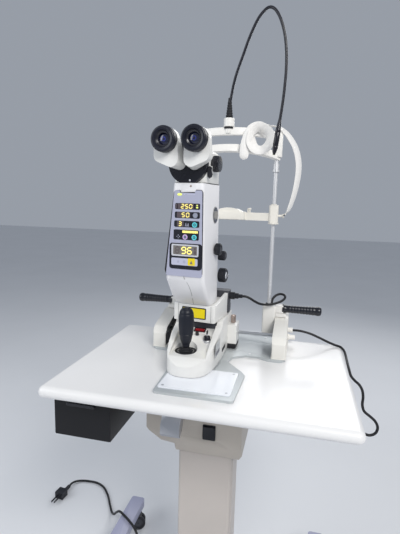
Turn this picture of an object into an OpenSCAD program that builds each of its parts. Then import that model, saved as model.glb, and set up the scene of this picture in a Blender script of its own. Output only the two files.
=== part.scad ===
// Slit lamp with a laser head, on a powered instrument table.
// The origin is on the floor under the centre of the tabletop.
// +X is the operator's right, +Y points to the patient, +Z is up.

/* [Table] */
// Height of the tabletop's upper face above the floor at the lowest setting
table_h = 750; // [700:10:800]
// Width of the tabletop
table_w = 700; // [680:10:740]
// Depth of the tabletop
table_d = 520; // [500:10:560]
// Thickness of the tabletop
table_t = 28; // [24:1:30]
// Corner radius of the tabletop in plan
table_corner = 16; // [14:1:50]

/* [Floor frame] */
// Distance from the middle to each leg's centre line
leg_x = 316; // [300:1:330]
// Length of each leg
leg_len = 554; // [540:2:600]
// Diameter of the caster wheels
wheel_d = 50; // [44:1:50]
// Width of the fixed column
column_w = 140; // [130:1:150]
// Depth of the fixed column
column_d = 120; // [110:1:130]

/* [Rails and axle] */
// Distance from the middle to each rail cover's centre line
rail_x = 168; // [166:1:172]
// Axle position along Y at rest
axle_y = 140; // [138:1:141]
// Axle height above the tabletop
axle_z = 47; // [47:0.5:48]
// Axle diameter
axle_d = 9.5; // [9:0.1:9.6]
// Number of teeth on each pinion
pinion_teeth = 18; // [18:1:18]
// Tooth module
tooth_module = 1.25; // [1.25:0.01:1.25]

/* [Moving base] */
// Base centre line along X at rest
base_x = -42; // [-46:1:-38]
// Joystick diameter
joystick_d = 39; // [34:1:40]

/* [Microscope] */
// Swing of the microscope arm at rest, in degrees
arm_turn = -7; // [-9:1:-5]
// Pupil distance between the two eyepieces
pupil_gap = 74; // [70:1:76]
// Outer diameter of each rubber eyecup
eyecup_d = 59; // [54:1:60]

/* [Headrest] */
// Distance from the middle to each headrest pole
pole_x = 128; // [126:1:132]
// Pole position along Y
pole_y = 188; // [186:1:192]
// Pole diameter
pole_d = 12; // [10:0.5:13]

/* [Hidden] */
$fn = 48;

// Floor frame
leg_w = 48;
leg_h = 28;
leg_z = 55;
frame_top = leg_z + leg_h;
bar_d = 90;
foot_plate_h = 8;
column_z = frame_top + foot_plate_h;
column_top = table_h - 224;
column_wall = 5;
stem_d = 10;
caster_y = 225;
caster_trail = 18;
caster_turns = [15, 165, 20, 160];
caster_sides = [[-1, -1], [1, -1], [-1, 1], [1, 1]];
tyre_w = 10;
web_t = 6;
fit = 0.05;

// Lift mast and under-table parts
mast_w = 124;
mast_d = 104;
mast_wall = 4;
mast_bottom = -640;
housing_wall = 4;
rocker_x = 18;
rocker_z = -140;
rocker_w = 30;
rocker_h = 36;
lever_x = -68;
lever_pin = [lever_x, -84, -54];
drawer_x = -264;
drawer_w = 143;
drawer_d = 268;
drawer_front = -208;
drawer_top = -43;
drawer_bottom = -138;
sheet_t = 3;

// Rails
plate_t = 6;
cover_w = 38;
cover_front = 58;
cover_back = 250;
pitch_r = tooth_module * pinion_teeth / 2;
tooth_pitch = PI * tooth_module;
rack_line = axle_z - pitch_r;
rack_root = rack_line - 1.45 * tooth_module;
rack_tip = rack_line + 0.8 * tooth_module;
rack_y0 = 63;
rack_y1 = 168;
ledge_top = 36.7;
guide_x = 178;
pinion_x = 162;

// Moving base
base_w = 128;
base_low = 9.5;
joystick_x = base_x - 13;
joystick_y = -66;
boot_z = 50;
stem_pivot_z = 44;
key_x = base_x + 33;
key_y = -30;
lock_x = base_x + 74;
switch_at = [base_x + 6, 4, 83];

// Pivot post, with a bore for a focusing test rod
post_top = 190;
rod_bore_d = 8;
rod_depth = 24;

// Microscope arm
pivot_y = 115;
panel_v = -175;
panel_low = 237;
panel_high = 445;
eye_z = 556.5;
eye_v = -232;

// Headrest
cord_d = 8;
lead_d = 7;
data_d = 7;
belt_w = 25;
belt_t = 2;

// Mains lead, from the gland on the column to the plug
mains_route = [
  [0, 72, 104], [0, 88, 103.4], [-1, 104, 96], [-3, 119, 78], [-6, 133, 52],
  [-11, 148, 26], [-21, 165, 9], [-38, 180, 4], [-62, 188, 4], [-88, 185, 4],
  [-118, 162, 4], [-146, 128, 4], [-182, 100, 5], [-216, 98, 22], [-246, 112, 58],
  [-272, 130, 84], [-296, 148, 89], [-330, 172, 89], [-354, 190, 83], [-376, 210, 58],
  [-396, 234, 28], [-418, 262, 9], [-444, 300, 4], [-474, 344, 4], [-512, 384, 4],
  [-552, 402, 4], [-590, 402, 4], [-615, 397, 5], [-634.5, 384.5, 7.5], [-645, 366, 10],
  [-646.1, 344.2, 11]
];

// Base to headrest lead, from the plug to the bracket
signal_route = [
  [56.2, 128, 156], [66, 128, 156], [78, 131, 151], [90.5, 137.6, 142],
  [106, 146.5, 133.6], [126, 157, 130.4], [146, 167, 133], [162.5, 176.6, 138.4],
  [172.6, 188, 145.4], [172, 200.4, 151.4], [161, 209, 153.6], [148, 207.6, 149.6],
  [138.8, 200.4, 141], [136, 196, 132.6], [136, 194, 124.2]
];

// Headrest to column lead, over the table's right edge
data_route = [
  [201, 215, 44], [223, 215, 44], [252, 217, 38], [282, 220, 26], [307, 226, 14],
  [327, 230, 6], [341.2, 224, 4], [348, 216.5, 0.6], [352.8, 205, -4.6], [355.2, 180, -12],
  [355, 140, -14], [356, 108, -18], [359, 84, -26], [367, 67, -31], [377, 58.5, -37],
  [385, 54, -49], [388, 50, -66], [387, 45, -84], [392, 40, -99], [407, 38, -110],
  [420, 36.5, -121], [426.5, 35, -136], [422, 33.5, -151], [408, 32, -158],
  [392, 30, -153], [374, 27, -141], [348, 22, -127], [320, 17, -117], [290, 12, -110],
  [230, 6, -106], [170, 2, -102], [130, 0, -100], [102.5, 0, -100]
];

// Fixation lamp arm, from the collar to the lamp
fixation_route = [[0, 130, 660], [3, 127, 694], [14, 120, 744],
  [35, 110, 799], [50, 103, 836], [68, 95, 870], [84, 89, 888],
  [99, 85, 895], [114, 81, 886], [128, 78, 862], [139, 76, 828],
  [145, 75, 790], [147, 75, 750], [146, 75, 712], [143, 75, 668],
  [138, 75, 624]];

// Head belt: up outside the right pole, then over the forehead bar
belt_route = [[162, 187, 395], [170, 187, 404], [181, 188, 434],
  [190, 189, 472], [194, 190, 513], [190, 190, 546], [180, 189, 577],
  [162, 187, 604], [140, 184, 626], [122, 176, 635], [104, 162, 637.5]];

// ---------------------------------------------------------------- helpers

module at_top() {
  translate([0, 0, table_h]) children();
}

module at_arm() {
  translate([base_x, pivot_y, table_h]) rotate(arm_turn) children();
}

module both_sides() {
  children();
  mirror([1, 0, 0]) children();
}

// Rectangle with round corners, centred
module rrect(w, d, r) {
  square([w - 2 * r, d], center = true);
  square([w, d - 2 * r], center = true);
  for (x = [-1, 1], y = [-1, 1]) {
    translate([x * (w / 2 - r), y * (d / 2 - r)]) circle(r);
  }
}

module rbox(w, d, h, r) {
  linear_extrude(h) rrect(w, d, r);
}

// Prism along +X from a (y, z) outline
module along_x(length, points) {
  rotate([90, 0, 90]) linear_extrude(length) polygon(points);
}

// Cylinder along +X
module rod_x(d, length) {
  rotate([0, 90, 0]) cylinder(d = d, h = length);
}

// Cylinder along +Y
module rod_y(d, length) {
  rotate([-90, 0, 0]) cylinder(d = d, h = length);
}

function unit(v) = v / norm(v);

// One point of a smooth curve through p1 and p2
function curve(p0, p1, p2, p3, t) =
  0.5 * (2 * p1 + (p2 - p0) * t + (2 * p0 - 5 * p1 + 4 * p2 - p3) * t * t
  + (3 * p1 - p0 - 3 * p2 + p3) * t * t * t);

// Smooth curve through all points, with n steps in each span
function smooth(p, n) = [
  for (i = [0 : len(p) - 2], k = [0 : n - 1])
    curve(p[max(i - 1, 0)], p[i], p[i + 1], p[min(i + 2, len(p) - 1)], k / n),
  p[len(p) - 1]
];

function tangent(p, i) =
  unit(p[min(i + 1, len(p) - 1)] - p[max(i - 1, 0)]);

function square_to(v, t) = unit(v - t * (v * t));

// Directions across the path that turn as little as possible
function sides_of(p, first, i = 0) = let (
  n = square_to(first, tangent(p, i))
) i == len(p) - 1 ? [n] : concat([n], sides_of(p, n, i + 1));

// Sweeps a section, a list of (across, up) points, along a path
module sweep(p, section, first) {
  across = sides_of(p, first);
  count = len(section);
  rings = [for (i = [0 : len(p) - 1]) let (
    up = cross(tangent(p, i), across[i])
  ) for (s = section) p[i] + across[i] * s[0] + up * s[1]];
  walls = [for (i = [0 : len(p) - 2], k = [0 : count - 1]) let (
    a = i * count + k,
    b = i * count + (k + 1) % count
  ) each [[a, a + count, b + count], [a, b + count, b]]];
  polyhedron(rings, concat(walls, [[for (k = [0 : count - 1]) k]],
    [[for (k = [count - 1 : -1 : 0]) (len(p) - 1) * count + k]]));
}

function round_section(d, n) =
  [for (k = [0 : n - 1]) d / 2 * [cos(360 * k / n), sin(360 * k / n)]];

// ------------------------------------------------------------ floor frame

module floor_frame() {
  color("#a9abbf") difference() {
    union() {
      both_sides() translate([leg_x, 0, leg_z]) rbox(leg_w, leg_len, leg_h, 9);
      translate([0, 0, leg_z + leg_h / 2])
        cube([2 * leg_x - leg_w, bar_d, leg_h], center = true);
      translate([0, 0, frame_top]) rbox(200, 160, foot_plate_h, 8);
    }
    for (s = caster_sides) {
      translate([s[0] * leg_x, s[1] * caster_y, leg_z - 1])
        cylinder(d = stem_d + 2 * fit, h = 21);
    }
  }
}

module outer_column() {
  color("#c9c0b4") translate([0, 0, column_z]) difference() {
    rbox(column_w, column_d, column_top - column_z, 8);
    translate([0, 0, -1]) rbox(column_w - 2 * column_wall,
      column_d - 2 * column_wall, column_top - column_z + 2, 4);
  }
  color("#77777f") for (s = [-1, 1]) {
    translate([s * (column_w / 2 + 0.75), 0, (column_top + column_z) / 2])
      cube([1.5, 80, column_top - column_z - 20], center = true);
  }
  color("#1d1d20") translate([0, column_d / 2, 104]) rod_y(22, 12);
}

module mains_lead() {
  color("#1a1a1d") sweep(smooth(mains_route, 1), round_section(cord_d, 8),
    [1, 0, 0]);
}

module mains_plug() {
  color("#151517") translate([-646, 344, 11]) rotate([0, 0, -5]) {
    mirror([0, 1, 0]) {
      rod_y(14, 26);
      translate([0, 26, 0]) rod_y(20, 12);
      translate([0, 50, 4]) rotate([0, 0, 0])
        cube([34, 32, 26], center = true);
    }
    for (x = [-6, 6]) {
      translate([x, -84, 4]) cube([2, 36, 6], center = true);
    }
  }
}

// Places child geometry under one leg corner, turned about its stem
module at_caster(k) {
  translate([caster_sides[k][0] * leg_x, caster_sides[k][1] * caster_y, 0])
    rotate(caster_turns[k]) children();
}

module caster_fork(k) {
  axle_h = wheel_d / 2;
  color("#1c1c1f") at_caster(k) difference() {
    union() {
      cylinder(d = stem_d, h = leg_z + 18);
      translate([0, 0, leg_z - 5]) cylinder(d = 32, h = 4.5);
      translate([caster_trail, 0, axle_h]) rotate([90, 0, 0])
        translate([0, 0, -web_t / 2]) cylinder(d = 30, h = web_t);
      translate([-7, -web_t / 2, axle_h]) cube([32, web_t, leg_z - axle_h - 1]);
      translate([caster_trail, 0, axle_h]) intersection() {
        rotate([90, 0, 0]) difference() {
          translate([0, 0, -15]) cylinder(d = wheel_d + 6, h = 30);
          translate([0, 0, -16]) cylinder(d = wheel_d + 3, h = 32);
        }
        translate([-40, -20, 8]) cube([52, 40, leg_z - axle_h - 9]);
      }
    }
    translate([0, 0, -1]) cylinder(d = stem_d + 4, h = leg_z - 21);
    translate([caster_trail, 0, axle_h]) rotate([90, 0, 0]) {
      translate([0, 0, -20]) cylinder(d = 6 + 2 * fit, h = 40);
      translate([0, 0, web_t / 2]) cylinder(d = wheel_d + 2, h = tyre_w + 1);
      translate([0, 0, -web_t / 2 - tyre_w - 1])
        cylinder(d = wheel_d + 2, h = tyre_w + 1);
    }
  }
}

module caster_wheel(k) {
  color("#2a2a2d") at_caster(k) translate([caster_trail, 0, wheel_d / 2])
    rotate([90, 0, 0]) {
      translate([0, 0, -14]) cylinder(d = 6, h = 28);
      for (s = [-1, 1]) {
        translate([0, 0, s * 8.7]) difference() {
          cylinder(d = wheel_d, h = tyre_w, center = true);
          translate([0, 0, s * 4]) cylinder(d = 34, h = 4, center = true);
        }
      }
    }
}

// ------------------------------------------------------------------ table

module lift_mast() {
  color("#b9bbc2") at_top() {
    translate([0, 0, mast_bottom]) difference() {
      rbox(mast_w, mast_d, -mast_bottom - table_t - 4, 6);
      translate([0, 0, -1]) rbox(mast_w - 2 * mast_wall,
        mast_d - 2 * mast_wall, -mast_bottom, 3);
    }
    translate([0, 0, -table_t - 4]) rbox(180, 140, 4, 8);
  }
}

// Outline of the under-table housing seen from the front, shrunk by a wall
module housing_front(t) {
  polygon([[-145 + t, -table_t + 1], [-145 + t, -150], [-112 + t, -190 + t],
    [-76 + t, -196 + t], [-76 + t, -222], [90 - t, -222], [98 - t, -206],
    [98 - t, -table_t + 1]]);
}

function housing_side(t) = [[-100 + t, -table_t + 1], [-100 + t, -158],
  [-66 + t, -222], [76 - t, -222], [80 - t, -210], [80 - t, -table_t + 1]];

module housing_block(t) {
  intersection() {
    translate([0, 120, 0]) rotate([90, 0, 0]) linear_extrude(240)
      housing_front(t);
    translate([-160, 0, 0]) along_x(320, housing_side(t));
  }
}

module under_housing() {
  color("#c7bfb4") at_top() difference() {
    intersection() {
      housing_block(0);
      translate([0, 0, -table_t - 100]) cube([400, 400, 200], center = true);
    }
    intersection() {
      housing_block(housing_wall);
      translate([0, 0, -120]) cube([400, 400, 196], center = true);
    }
    translate([0, 0, -160]) cube([mast_w + 6, mast_d + 6, 160], center = true);
    translate([rocker_x, -100, rocker_z])
      cube([rocker_w, 20, rocker_h], center = true);
    translate([lever_x + 3, -100, -57]) cube([62, 20, 62], center = true);
  }
  color("#c7bfb4") at_top() {
    for (x = [lever_x - 31, lever_x + 31]) {
      translate([x - 2.5, -97, -66]) cube([5, 22, 66 - table_t]);
    }
    translate([lever_x - 30, lever_pin[1], lever_pin[2]]) rod_x(8, 60);
  }
}

module tabletop() {
  edge = table_t / 2;
  color("#f2f1ef") at_top() translate([0, 0, -edge]) hull() {
    for (x = [-1, 1], y = [-1, 1]) {
      translate([x * (table_w / 2 - table_corner),
        y * (table_d / 2 - table_corner), 0])
        rotate_extrude($fn = 32) intersection() {
          translate([table_corner - edge, 0]) circle(edge, $fn = 32);
          translate([0, -edge]) square([table_corner, table_t]);
        }
    }
  }
}

module rocker_switch() {
  color("#16171b") at_top() translate([rocker_x, -99, rocker_z]) {
    rotate([4, 0, 0]) along_x_centred(rocker_w - 1.6, [[-5, 16], [-3, 0],
      [-6, -16], [2, -16.4], [5, 0], [2, 16.4]]);
    translate([-(rocker_w - 0.6) / 2, 0, 0]) rod_x(4, rocker_w - 0.6);
  }
}

module along_x_centred(length, points) {
  translate([-length / 2, 0, 0]) along_x(length, points);
}

module release_lever() {
  color("#8d9096") at_top() {
    translate(lever_pin) difference() {
      union() {
        along_x_centred(36, [[-8, 9], [-8, -9], [9, -9], [9, 9]]);
        along_x_centred(40, [[-4, 9], [-30, -8], [-64, -56], [-66, -78],
          [-58, -86], [-38, -66], [-20, -34], [-4, -12]]);
        intersection() {
          along_x_centred(48, [[-34, -18], [-64, -56], [-67, -78],
            [-58, -88], [-38, -68], [-26, -46]]);
          translate([0, -60, -150]) rbox(48, 80, 200, 7);
        }
      }
      translate([-30, 0, 0]) rod_x(8 + 2 * fit, 60);
    }
  }
}

module drawer() {
  inner_w = drawer_w - 2 * sheet_t;
  color("#131316") at_top() translate([drawer_x, 0, 0]) {
    difference() {
      translate([-drawer_w / 2, drawer_front, drawer_bottom])
        cube([drawer_w, drawer_d, drawer_top - drawer_bottom]);
      translate([-inner_w / 2, drawer_front + sheet_t,
        drawer_bottom + sheet_t])
        cube([inner_w, drawer_d - 2 * sheet_t, 200]);
      translate([-inner_w / 2, drawer_front + drawer_d / 2, -53])
        cube([inner_w, drawer_d, 50]);
    }
    both_sides() translate([drawer_w / 2 - 12.5, drawer_front + sheet_t,
      drawer_top - sheet_t]) cube([12.5 - sheet_t, drawer_d - 2 * sheet_t,
      sheet_t]);
  }
}

module drawer_runners() {
  color("#8f9298") at_top() translate([drawer_x, 0, 0]) both_sides() {
    translate([drawer_w / 2 - 16, drawer_front + 14, -49])
      cube([2, drawer_d - 40, 49 - table_t]);
    translate([drawer_w / 2 - 16, drawer_front + 14, -49])
      cube([11, drawer_d - 40, 2.5]);
  }
}

// ------------------------------------------------------------------ rails

module half_plate() {
  polygon([[-1, -213], [90, -213], [96, -70], [84, -50], [40, 6], [48, 42],
    [80, 64], [114, 63], [140, 49], [174, 49], [187, 64], [187, 250],
    [-1, 250]]);
}

module rack_bar() {
  teeth = floor((rack_y1 - rack_y0) / 2 / tooth_pitch) - 1;
  flank = 0.8 * tooth_module * tan(20);
  foot = 1.45 * tooth_module * tan(20);
  half = tooth_pitch / 4 - 0.14;
  translate([-6, 0, 0]) along_x(12, concat(
    [[rack_y1, plate_t], [rack_y1, rack_root]],
    [for (k = [teeth : -1 : -teeth]) let (
      y = axle_y - 25 + (k + 0.5) * tooth_pitch + rack_shift
    ) each [[y + half + foot, rack_root], [y + half - flank, rack_tip],
      [y - half + flank, rack_tip], [y - half - foot, rack_root]]],
    [[rack_y0, rack_root], [rack_y0, plate_t]]));
}

// Brings the middle rack gap to a whole number of pitches from the axle
rack_shift = 25 - round(25 / tooth_pitch) * tooth_pitch;

module base_plate() {
  color("#c3c8cb") at_top() linear_extrude(plate_t) difference() {
    offset(r = 9, $fn = 32) offset(delta = -18) offset(r = 9, $fn = 32)
      both_sides() half_plate();
  }
  color("#8a8d92") at_top() both_sides() {
    translate([pinion_x, 0, 0]) rack_bar();
    translate([guide_x - 5, rack_y0, plate_t])
      cube([10, rack_y1 - rack_y0, ledge_top - plate_t]);
  }
}

module slide_plate() {
  color("#f4f5f8") at_top() translate([-3, -130, plate_t]) difference() {
    rbox(166, 125, 2, 5);
    for (x = [-73, 73], y = [-52, 52]) {
      translate([x, y, 1]) cylinder(d = 6, h = 2);
    }
  }
  color("#9a9ca0") at_top() translate([-3, -130, plate_t + 1]) {
    for (x = [-73, 73], y = [-52, 52]) {
      translate([x, y, 0]) cylinder(d = 5.6, h = 0.8);
    }
  }
}

module rail_covers() {
  outer = [[cover_front, plate_t], [cover_front, 46], [72, 64], [170, 90],
    [cover_back, 92], [cover_back, plate_t]];
  inner = [[61, plate_t - 1], [61, 45], [74, 61], [169, 86],
    [169, plate_t - 1]];
  color("#e9e7e2") at_top() both_sides() difference() {
    intersection() {
      translate([rail_x - cover_w / 2, 0, 0]) along_x(cover_w, outer);
      translate([rail_x, (cover_front + cover_back) / 2, 0])
        rbox(cover_w, cover_back - cover_front, 120, 5);
    }
    translate([rail_x - cover_w / 2 - 1, 0, 0]) along_x(cover_w - 2, inner);
  }
}

module axle_guides() {
  color("#6f7278") at_top() both_sides() difference() {
    translate([guide_x - 5, axle_y - 9, 37]) cube([10, 18, 20]);
    translate([guide_x - 6, axle_y, axle_z]) rod_x(axle_d + 2 * fit, 12);
  }
}

function involute(a) = [cos(a) + PI * a / 180 * sin(a),
  sin(a) - PI * a / 180 * cos(a)];

function turn(p, a) = [p[0] * cos(a) - p[1] * sin(a),
  p[0] * sin(a) + p[1] * cos(a)];

// Angle at which the involute of a circle of radius b reaches radius r
function reach(b, r) = 180 / PI * sqrt((r / b) * (r / b) - 1);

function polar(p) = atan2(p[1], p[0]);

module pinion_outline() {
  base_r = pitch_r * cos(20);
  tip_r = pitch_r + 0.8 * tooth_module;
  root_r = pitch_r - 1.25 * tooth_module;
  at_pitch = polar(involute(reach(base_r, pitch_r)));
  half = 90 / pinion_teeth - 0.35;
  flank = [for (r = [base_r + 0.02, pitch_r - 0.3, pitch_r + 0.3, tip_r])
    turn(base_r * involute(reach(base_r, r)), -half - at_pitch)];
  circle(root_r + 0.02);
  for (k = [0 : pinion_teeth - 1]) rotate(360 * k / pinion_teeth - 90) {
    polygon(concat([[root_r - 1, flank[0][1] * 0.9]], flank,
      [for (i = [3 : -1 : 0]) [flank[i][0], -flank[i][1]]],
      [[root_r - 1, -flank[0][1] * 0.9]]));
  }
}

module drive_axle() {
  color("#a8abb0") at_top() translate([0, axle_y, axle_z]) {
    translate([-guide_x - 4, 0, 0]) rod_x(axle_d, 2 * guide_x + 8);
    both_sides() translate([pinion_x - 5, 0, 0]) rotate([90, 0, 90])
      linear_extrude(10) pinion_outline();
  }
}

// --------------------------------------------------------------- headrest

module pole_brackets() {
  color("#eceae5") at_top() both_sides() {
    difference() {
      translate([130, 188, 35]) rbox(38, 32, 89, 5);
      translate([pole_x, pole_y, 45]) cylinder(d = pole_d, h = 90);
    }
    translate([149, 176, 104]) cube([22, 24, 22]);
    translate([149, 174, 92]) cube([30, 28, 11]);
  }
  color("#f1f1f1") at_top() translate([187, 215, 44]) rod_x(15, 14);
  color("#c9b79a") at_top() translate([187, 215, 22]) {
    rod_x(18, 6);
    rod_x(14, 22);
  }
}

module hand_grips() {
  color("#141417") at_top() both_sides() translate([171, pole_y, 115])
    rotate([0, 90, 0]) rotate_extrude() polygon([[0, 0], [12, 0],
      [11.4, 4], [10.6, 20], [11, 52], [12.4, 84], [13.6, 98], [12.6, 104],
      [9, 107], [0, 108]]);
}

module headrest_poles() {
  color("#b5b7ba") at_top() both_sides() translate([pole_x, pole_y, 0]) {
    translate([0, 0, 45]) cylinder(d = pole_d, h = 560);
    translate([0, 0, 507]) cylinder(d = 20, h = 6);
    translate([0, 0, 513]) cylinder(d = 17, h = 17);
  }
}

// Bowed bar between the poles: it bends to the operator and rises midway
module bow(low, height, depth, tilt) {
  half = pole_x + 6;
  sag = 62;
  radius = (half * half + sag * sag) / (2 * sag);
  spread = asin(half / radius);
  translate([0, pole_y, low]) rotate([-tilt, 0, 0])
    translate([0, radius - sag, 0]) rotate(-90 - spread)
      rotate_extrude(angle = 2 * spread, $fn = 96)
        translate([radius - depth / 2, 0]) square([depth, height]);
}

module forehead_frame() {
  color("#efede9") at_top() difference() {
    union() {
      bow(592, 20, 11, 7);
      bow(538, 20, 12, 17);
      both_sides() translate([pole_x + 4, pole_y, 548]) rbox(22, 24, 75, 6);
      translate([0, 129, 604]) cylinder(d = 22, h = 22);
    }
    both_sides() translate([pole_x, pole_y, 500])
      cylinder(d = pole_d, h = 106);
  }
}

module chin_rest() {
  color("#e6e3da") at_top() difference() {
    union() {
      both_sides() {
        translate([pole_x, pole_y, 361]) cylinder(d = 30, h = 4);
        translate([pole_x, pole_y, 365]) rbox(26, 26, 50, 6);
      }
      translate([0, pole_y, 370]) rbox(2 * pole_x - 12, 14, 22, 6);
      translate([0, pole_y - 4, 372]) rbox(96, 44, 22, 14);
      translate([0, pole_y - 4, 390]) intersection() {
        rbox(88, 40, 30, 13);
        translate([0, 40, -62]) rotate([90, 0, 0]) cylinder(r = 77, h = 80);
      }
      translate([55, pole_y, 392]) cylinder(d = 6, h = 12);
    }
    both_sides() translate([pole_x, pole_y, 340])
      cylinder(d = pole_d + 2 * fit, h = 90);
    translate([0, pole_y + 26, 428]) rotate([90, 0, 0])
      cylinder(r = 34, h = 42);
  }
  color("#1b1b1e") at_top() translate([pole_x + 13, pole_y, 385]) {
    rod_x(7, 12);
    translate([12, 0, 0]) rod_x(12, 5);
  }
}

module head_belt() {
  color("#f3f2f0") at_top() sweep(smooth(belt_route, 2), [
    [-belt_w / 2, -belt_t / 2], [belt_w / 2, -belt_t / 2],
    [belt_w / 2, belt_t / 2], [-belt_w / 2, belt_t / 2]], [0, 1, 0]);
}

module fixation_arm() {
  color("#17171a") at_top() {
    translate([0, 129, 626.3]) cylinder(d = 20, h = 4);
    translate([0, 129, 630.3]) cylinder(d = 24, h = 22);
    translate([0, 130, 652.3]) cylinder(d1 = 14, d2 = 9, h = 30);
    sweep(smooth(fixation_route, 2), round_section(7.5, 10), [1, 0, 0]);
  }
}

module fixation_lamp() {
  color("#1b1b1f") at_top() translate([138, 75, 624])
    rotate([0, 7, 0]) mirror([0, 0, 1]) {
      cylinder(d1 = 8, d2 = 13, h = 22);
      translate([0, 0, 22]) cylinder(d = 14, h = 44);
      translate([0, 0, 66]) cylinder(d1 = 14, d2 = 9, h = 12);
      translate([0, 0, 78]) cylinder(d = 7, h = 5);
    }
}

module data_lead() {
  color("#18181b") at_top() sweep(smooth(data_route, 1),
    round_section(data_d, 8), [0, 1, 0]);
}

// ------------------------------------------------------------ moving base

// Half of the base outline in plan: x from the centre line, y
base_half = [[0, -134], [18, -132], [34, -125], [46, -111], [53, -92],
  [58, -66], [62, -30], [64, 10], [64, 160], [0, 160]];

module base_plan() {
  both_sides() polygon(base_half);
}

module base_body() {
  ridge = [[-140, base_low], [-133, 34], [-124, 43], [-105, 48], [-80, 61],
    [-26, 84], [10, 93], [24, 105.6], [161, 105.6], [161, base_low]];
  deck = [[-104, 48.2], [-62, 54], [-20, 76], [14, 88], [14, 140],
    [-104, 140]];
  color("#e4e2dc") at_top() difference() {
    union() {
      intersection() {
        translate([base_x, 0, base_low]) linear_extrude(120) base_plan();
        translate([base_x - 80, 0, 0]) along_x(160, ridge);
      }
      translate([base_x - 76, 112, 14]) cube([14, 48, 64]);
      translate([base_x + 62, 105, 20]) cube([26, 55, 55]);
    }
    translate([base_x - 46, 0, 0]) along_x(92, deck);
    translate([base_x - 48, 14, 58]) cube([96, 147, 80]);
    translate([base_x - 160, axle_y, axle_z]) rod_x(axle_d + 2 * fit, 320);
    translate([joystick_x, joystick_y, boot_z]) cylinder(d = 58, h = 60);
    translate([joystick_x, joystick_y, stem_pivot_z])
      sphere(d = 42);
    translate([key_x, key_y, 60]) cylinder(d = 10 + 2 * fit, h = 40);
    translate([lock_x, 134, 58]) cylinder(d = 8 + 2 * fit, h = 30);
    translate(switch_at) rotate([19, 0, 0])
      cube([26, 15, 18], center = true);
  }
}

module joystick_gimbal() {
  color("#101013") at_top() translate([joystick_x, joystick_y, stem_pivot_z])
    difference() {
      sphere(d = 41);
      translate([0, 0, -22.5]) cube([60, 60, 30], center = true);
      translate([0, 0, 26]) cube([60, 60, 40], center = true);
      cylinder(d = 25, h = 60, center = true);
    }
}

module joystick_stem() {
  color("#17171a") at_top() translate([joystick_x, joystick_y, 0]) {
    translate([0, 0, stem_pivot_z - 4]) cylinder(d = 20, h = 8);
    translate([0, 0, stem_pivot_z + 4]) cylinder(d1 = 20, d2 = 12, h = 12);
    translate([0, 0, stem_pivot_z + 16]) cylinder(d = 8, h = 60);
  }
}

module joystick() {
  r = joystick_d / 2;
  color("#1c1d24") at_top() translate([joystick_x, joystick_y, 0])
    difference() {
      rotate_extrude() polygon([[0, 62], [9, 62], [9, 68], [r - 6, 78],
        [r - 2, 96], [r, 116], [r - 0.3, 134], [r - 2.5, 148],
        [r - 7, 157], [r - 13, 161], [0, 162]]);
      translate([0, 0, 60]) cylinder(d = 8 + 2 * fit, h = 61);
    }
}

module red_switch() {
  color("#8a1f24") at_top() translate(switch_at) rotate([19, 0, 0])
    union() {
      along_x_centred(24, [[-5, -6], [5, -6], [6, 2.5], [0, 3.5], [-6, 5]]);
      translate([-12.6, 0, 0]) rod_x(3, 25.2);
    }
}

module key_switch() {
  color("#16161a") at_top() translate([key_x, key_y, 60.5]) {
    cylinder(d = 10, h = 16);
    translate([0, 0, 16]) cylinder(d = 17, h = 5);
    translate([-1.2, -6, 21]) cube([2.4, 12, 15]);
  }
}

module lock_screw() {
  color("#b9a9a0") at_top() translate([lock_x, 134, 59]) {
    cylinder(d = 8, h = 17);
    translate([0, 0, 17]) cylinder(d = 15, h = 22);
  }
}

module pillar() {
  color("#34353c") at_top() difference() {
    union() {
      translate([base_x - 44, 17, 72]) cube([88, 128, 35.5]);
      translate([base_x, pivot_y, 107]) cylinder(d = 28, h = post_top - 107);
      translate([base_x + 3, 134.5, 128.5]) rbox(118, 33, 42, 8);
      translate([base_x + 54, 134.5, 107.5]) rbox(16, 33, 22, 3);
      translate([base_x - 51, 134.5, 107.5]) rbox(10, 33, 22, 3);
      translate([base_x - 10, pivot_y + 2, 128.5]) cube([20, 30, 42]);
    }
    translate([base_x, pivot_y, post_top - rod_depth])
      cylinder(d = rod_bore_d, h = rod_depth + 1);
  }
}

// ------------------------------------------------- microscope and laser arm

module scope_arm() {
  color("#e7e5df") at_arm() difference() {
    union() {
      translate([3, -71, 108]) rbox(116, 90, 45, 6);
      translate([43, -32, 108]) rbox(36, 60, 45, 6);
      translate([52, 0, 0]) along_x(9, [[-108, 152], [-5, 168], [-5, 152]]);
      translate([0, 0, 108]) cylinder(d = 84, h = 20);
    }
    translate([0, 0, 100]) cylinder(d = 28 + 2 * fit, h = 90);
    translate([0, 0, 128]) cylinder(d = 60, h = 40);
  }
  color("#e2c52a") at_arm() translate([2, -116.4, 131])
    cube([62, 1.2, 24], center = true);
}

module signal_plug() {
  color("#141416") at_top() translate([20, 128, 156]) {
    rod_x(21, 14);
    rod_x(16, 25);
    rod_x(11, 36);
  }
}

module signal_lead() {
  color("#18181b") at_top() sweep(smooth(signal_route, 1),
    round_section(lead_d, 8), [0, 0, 1]);
}

// Slice of the tower: left and right at the front and at the back
module tower_slice(z, front, back, near, far) {
  for (p = [[front[0], near, 1], [front[1], near, -1],
    [back[0], far, 1], [back[1], far, -1]]) {
    r = p[1] == near ? 10 : 5;
    translate([p[0] + p[2] * r, p[1] + (p[1] == near ? r : -r), z])
      cylinder(r = r, h = 1, $fn = 32);
  }
}

module tower_shell() {
  color("#eae9ea") at_arm() {
    hull() {
      tower_slice(461.5, [-36, 43], [-40, 43], -175, -53);
      tower_slice(228, [-53, 50], [-46, 46], -175, -53);
    }
    hull() {
      tower_slice(227, [-53, 50], [-46, 46], -175, -53);
      tower_slice(180, [-50, 50], [-46, 46], -146, -53);
    }
    hull() {
      tower_slice(180, [-50, 50], [-46, 46], -146, -53);
      tower_slice(153.4, [-46, 48], [-44, 46], -116, -53);
    }
  }
}

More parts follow.
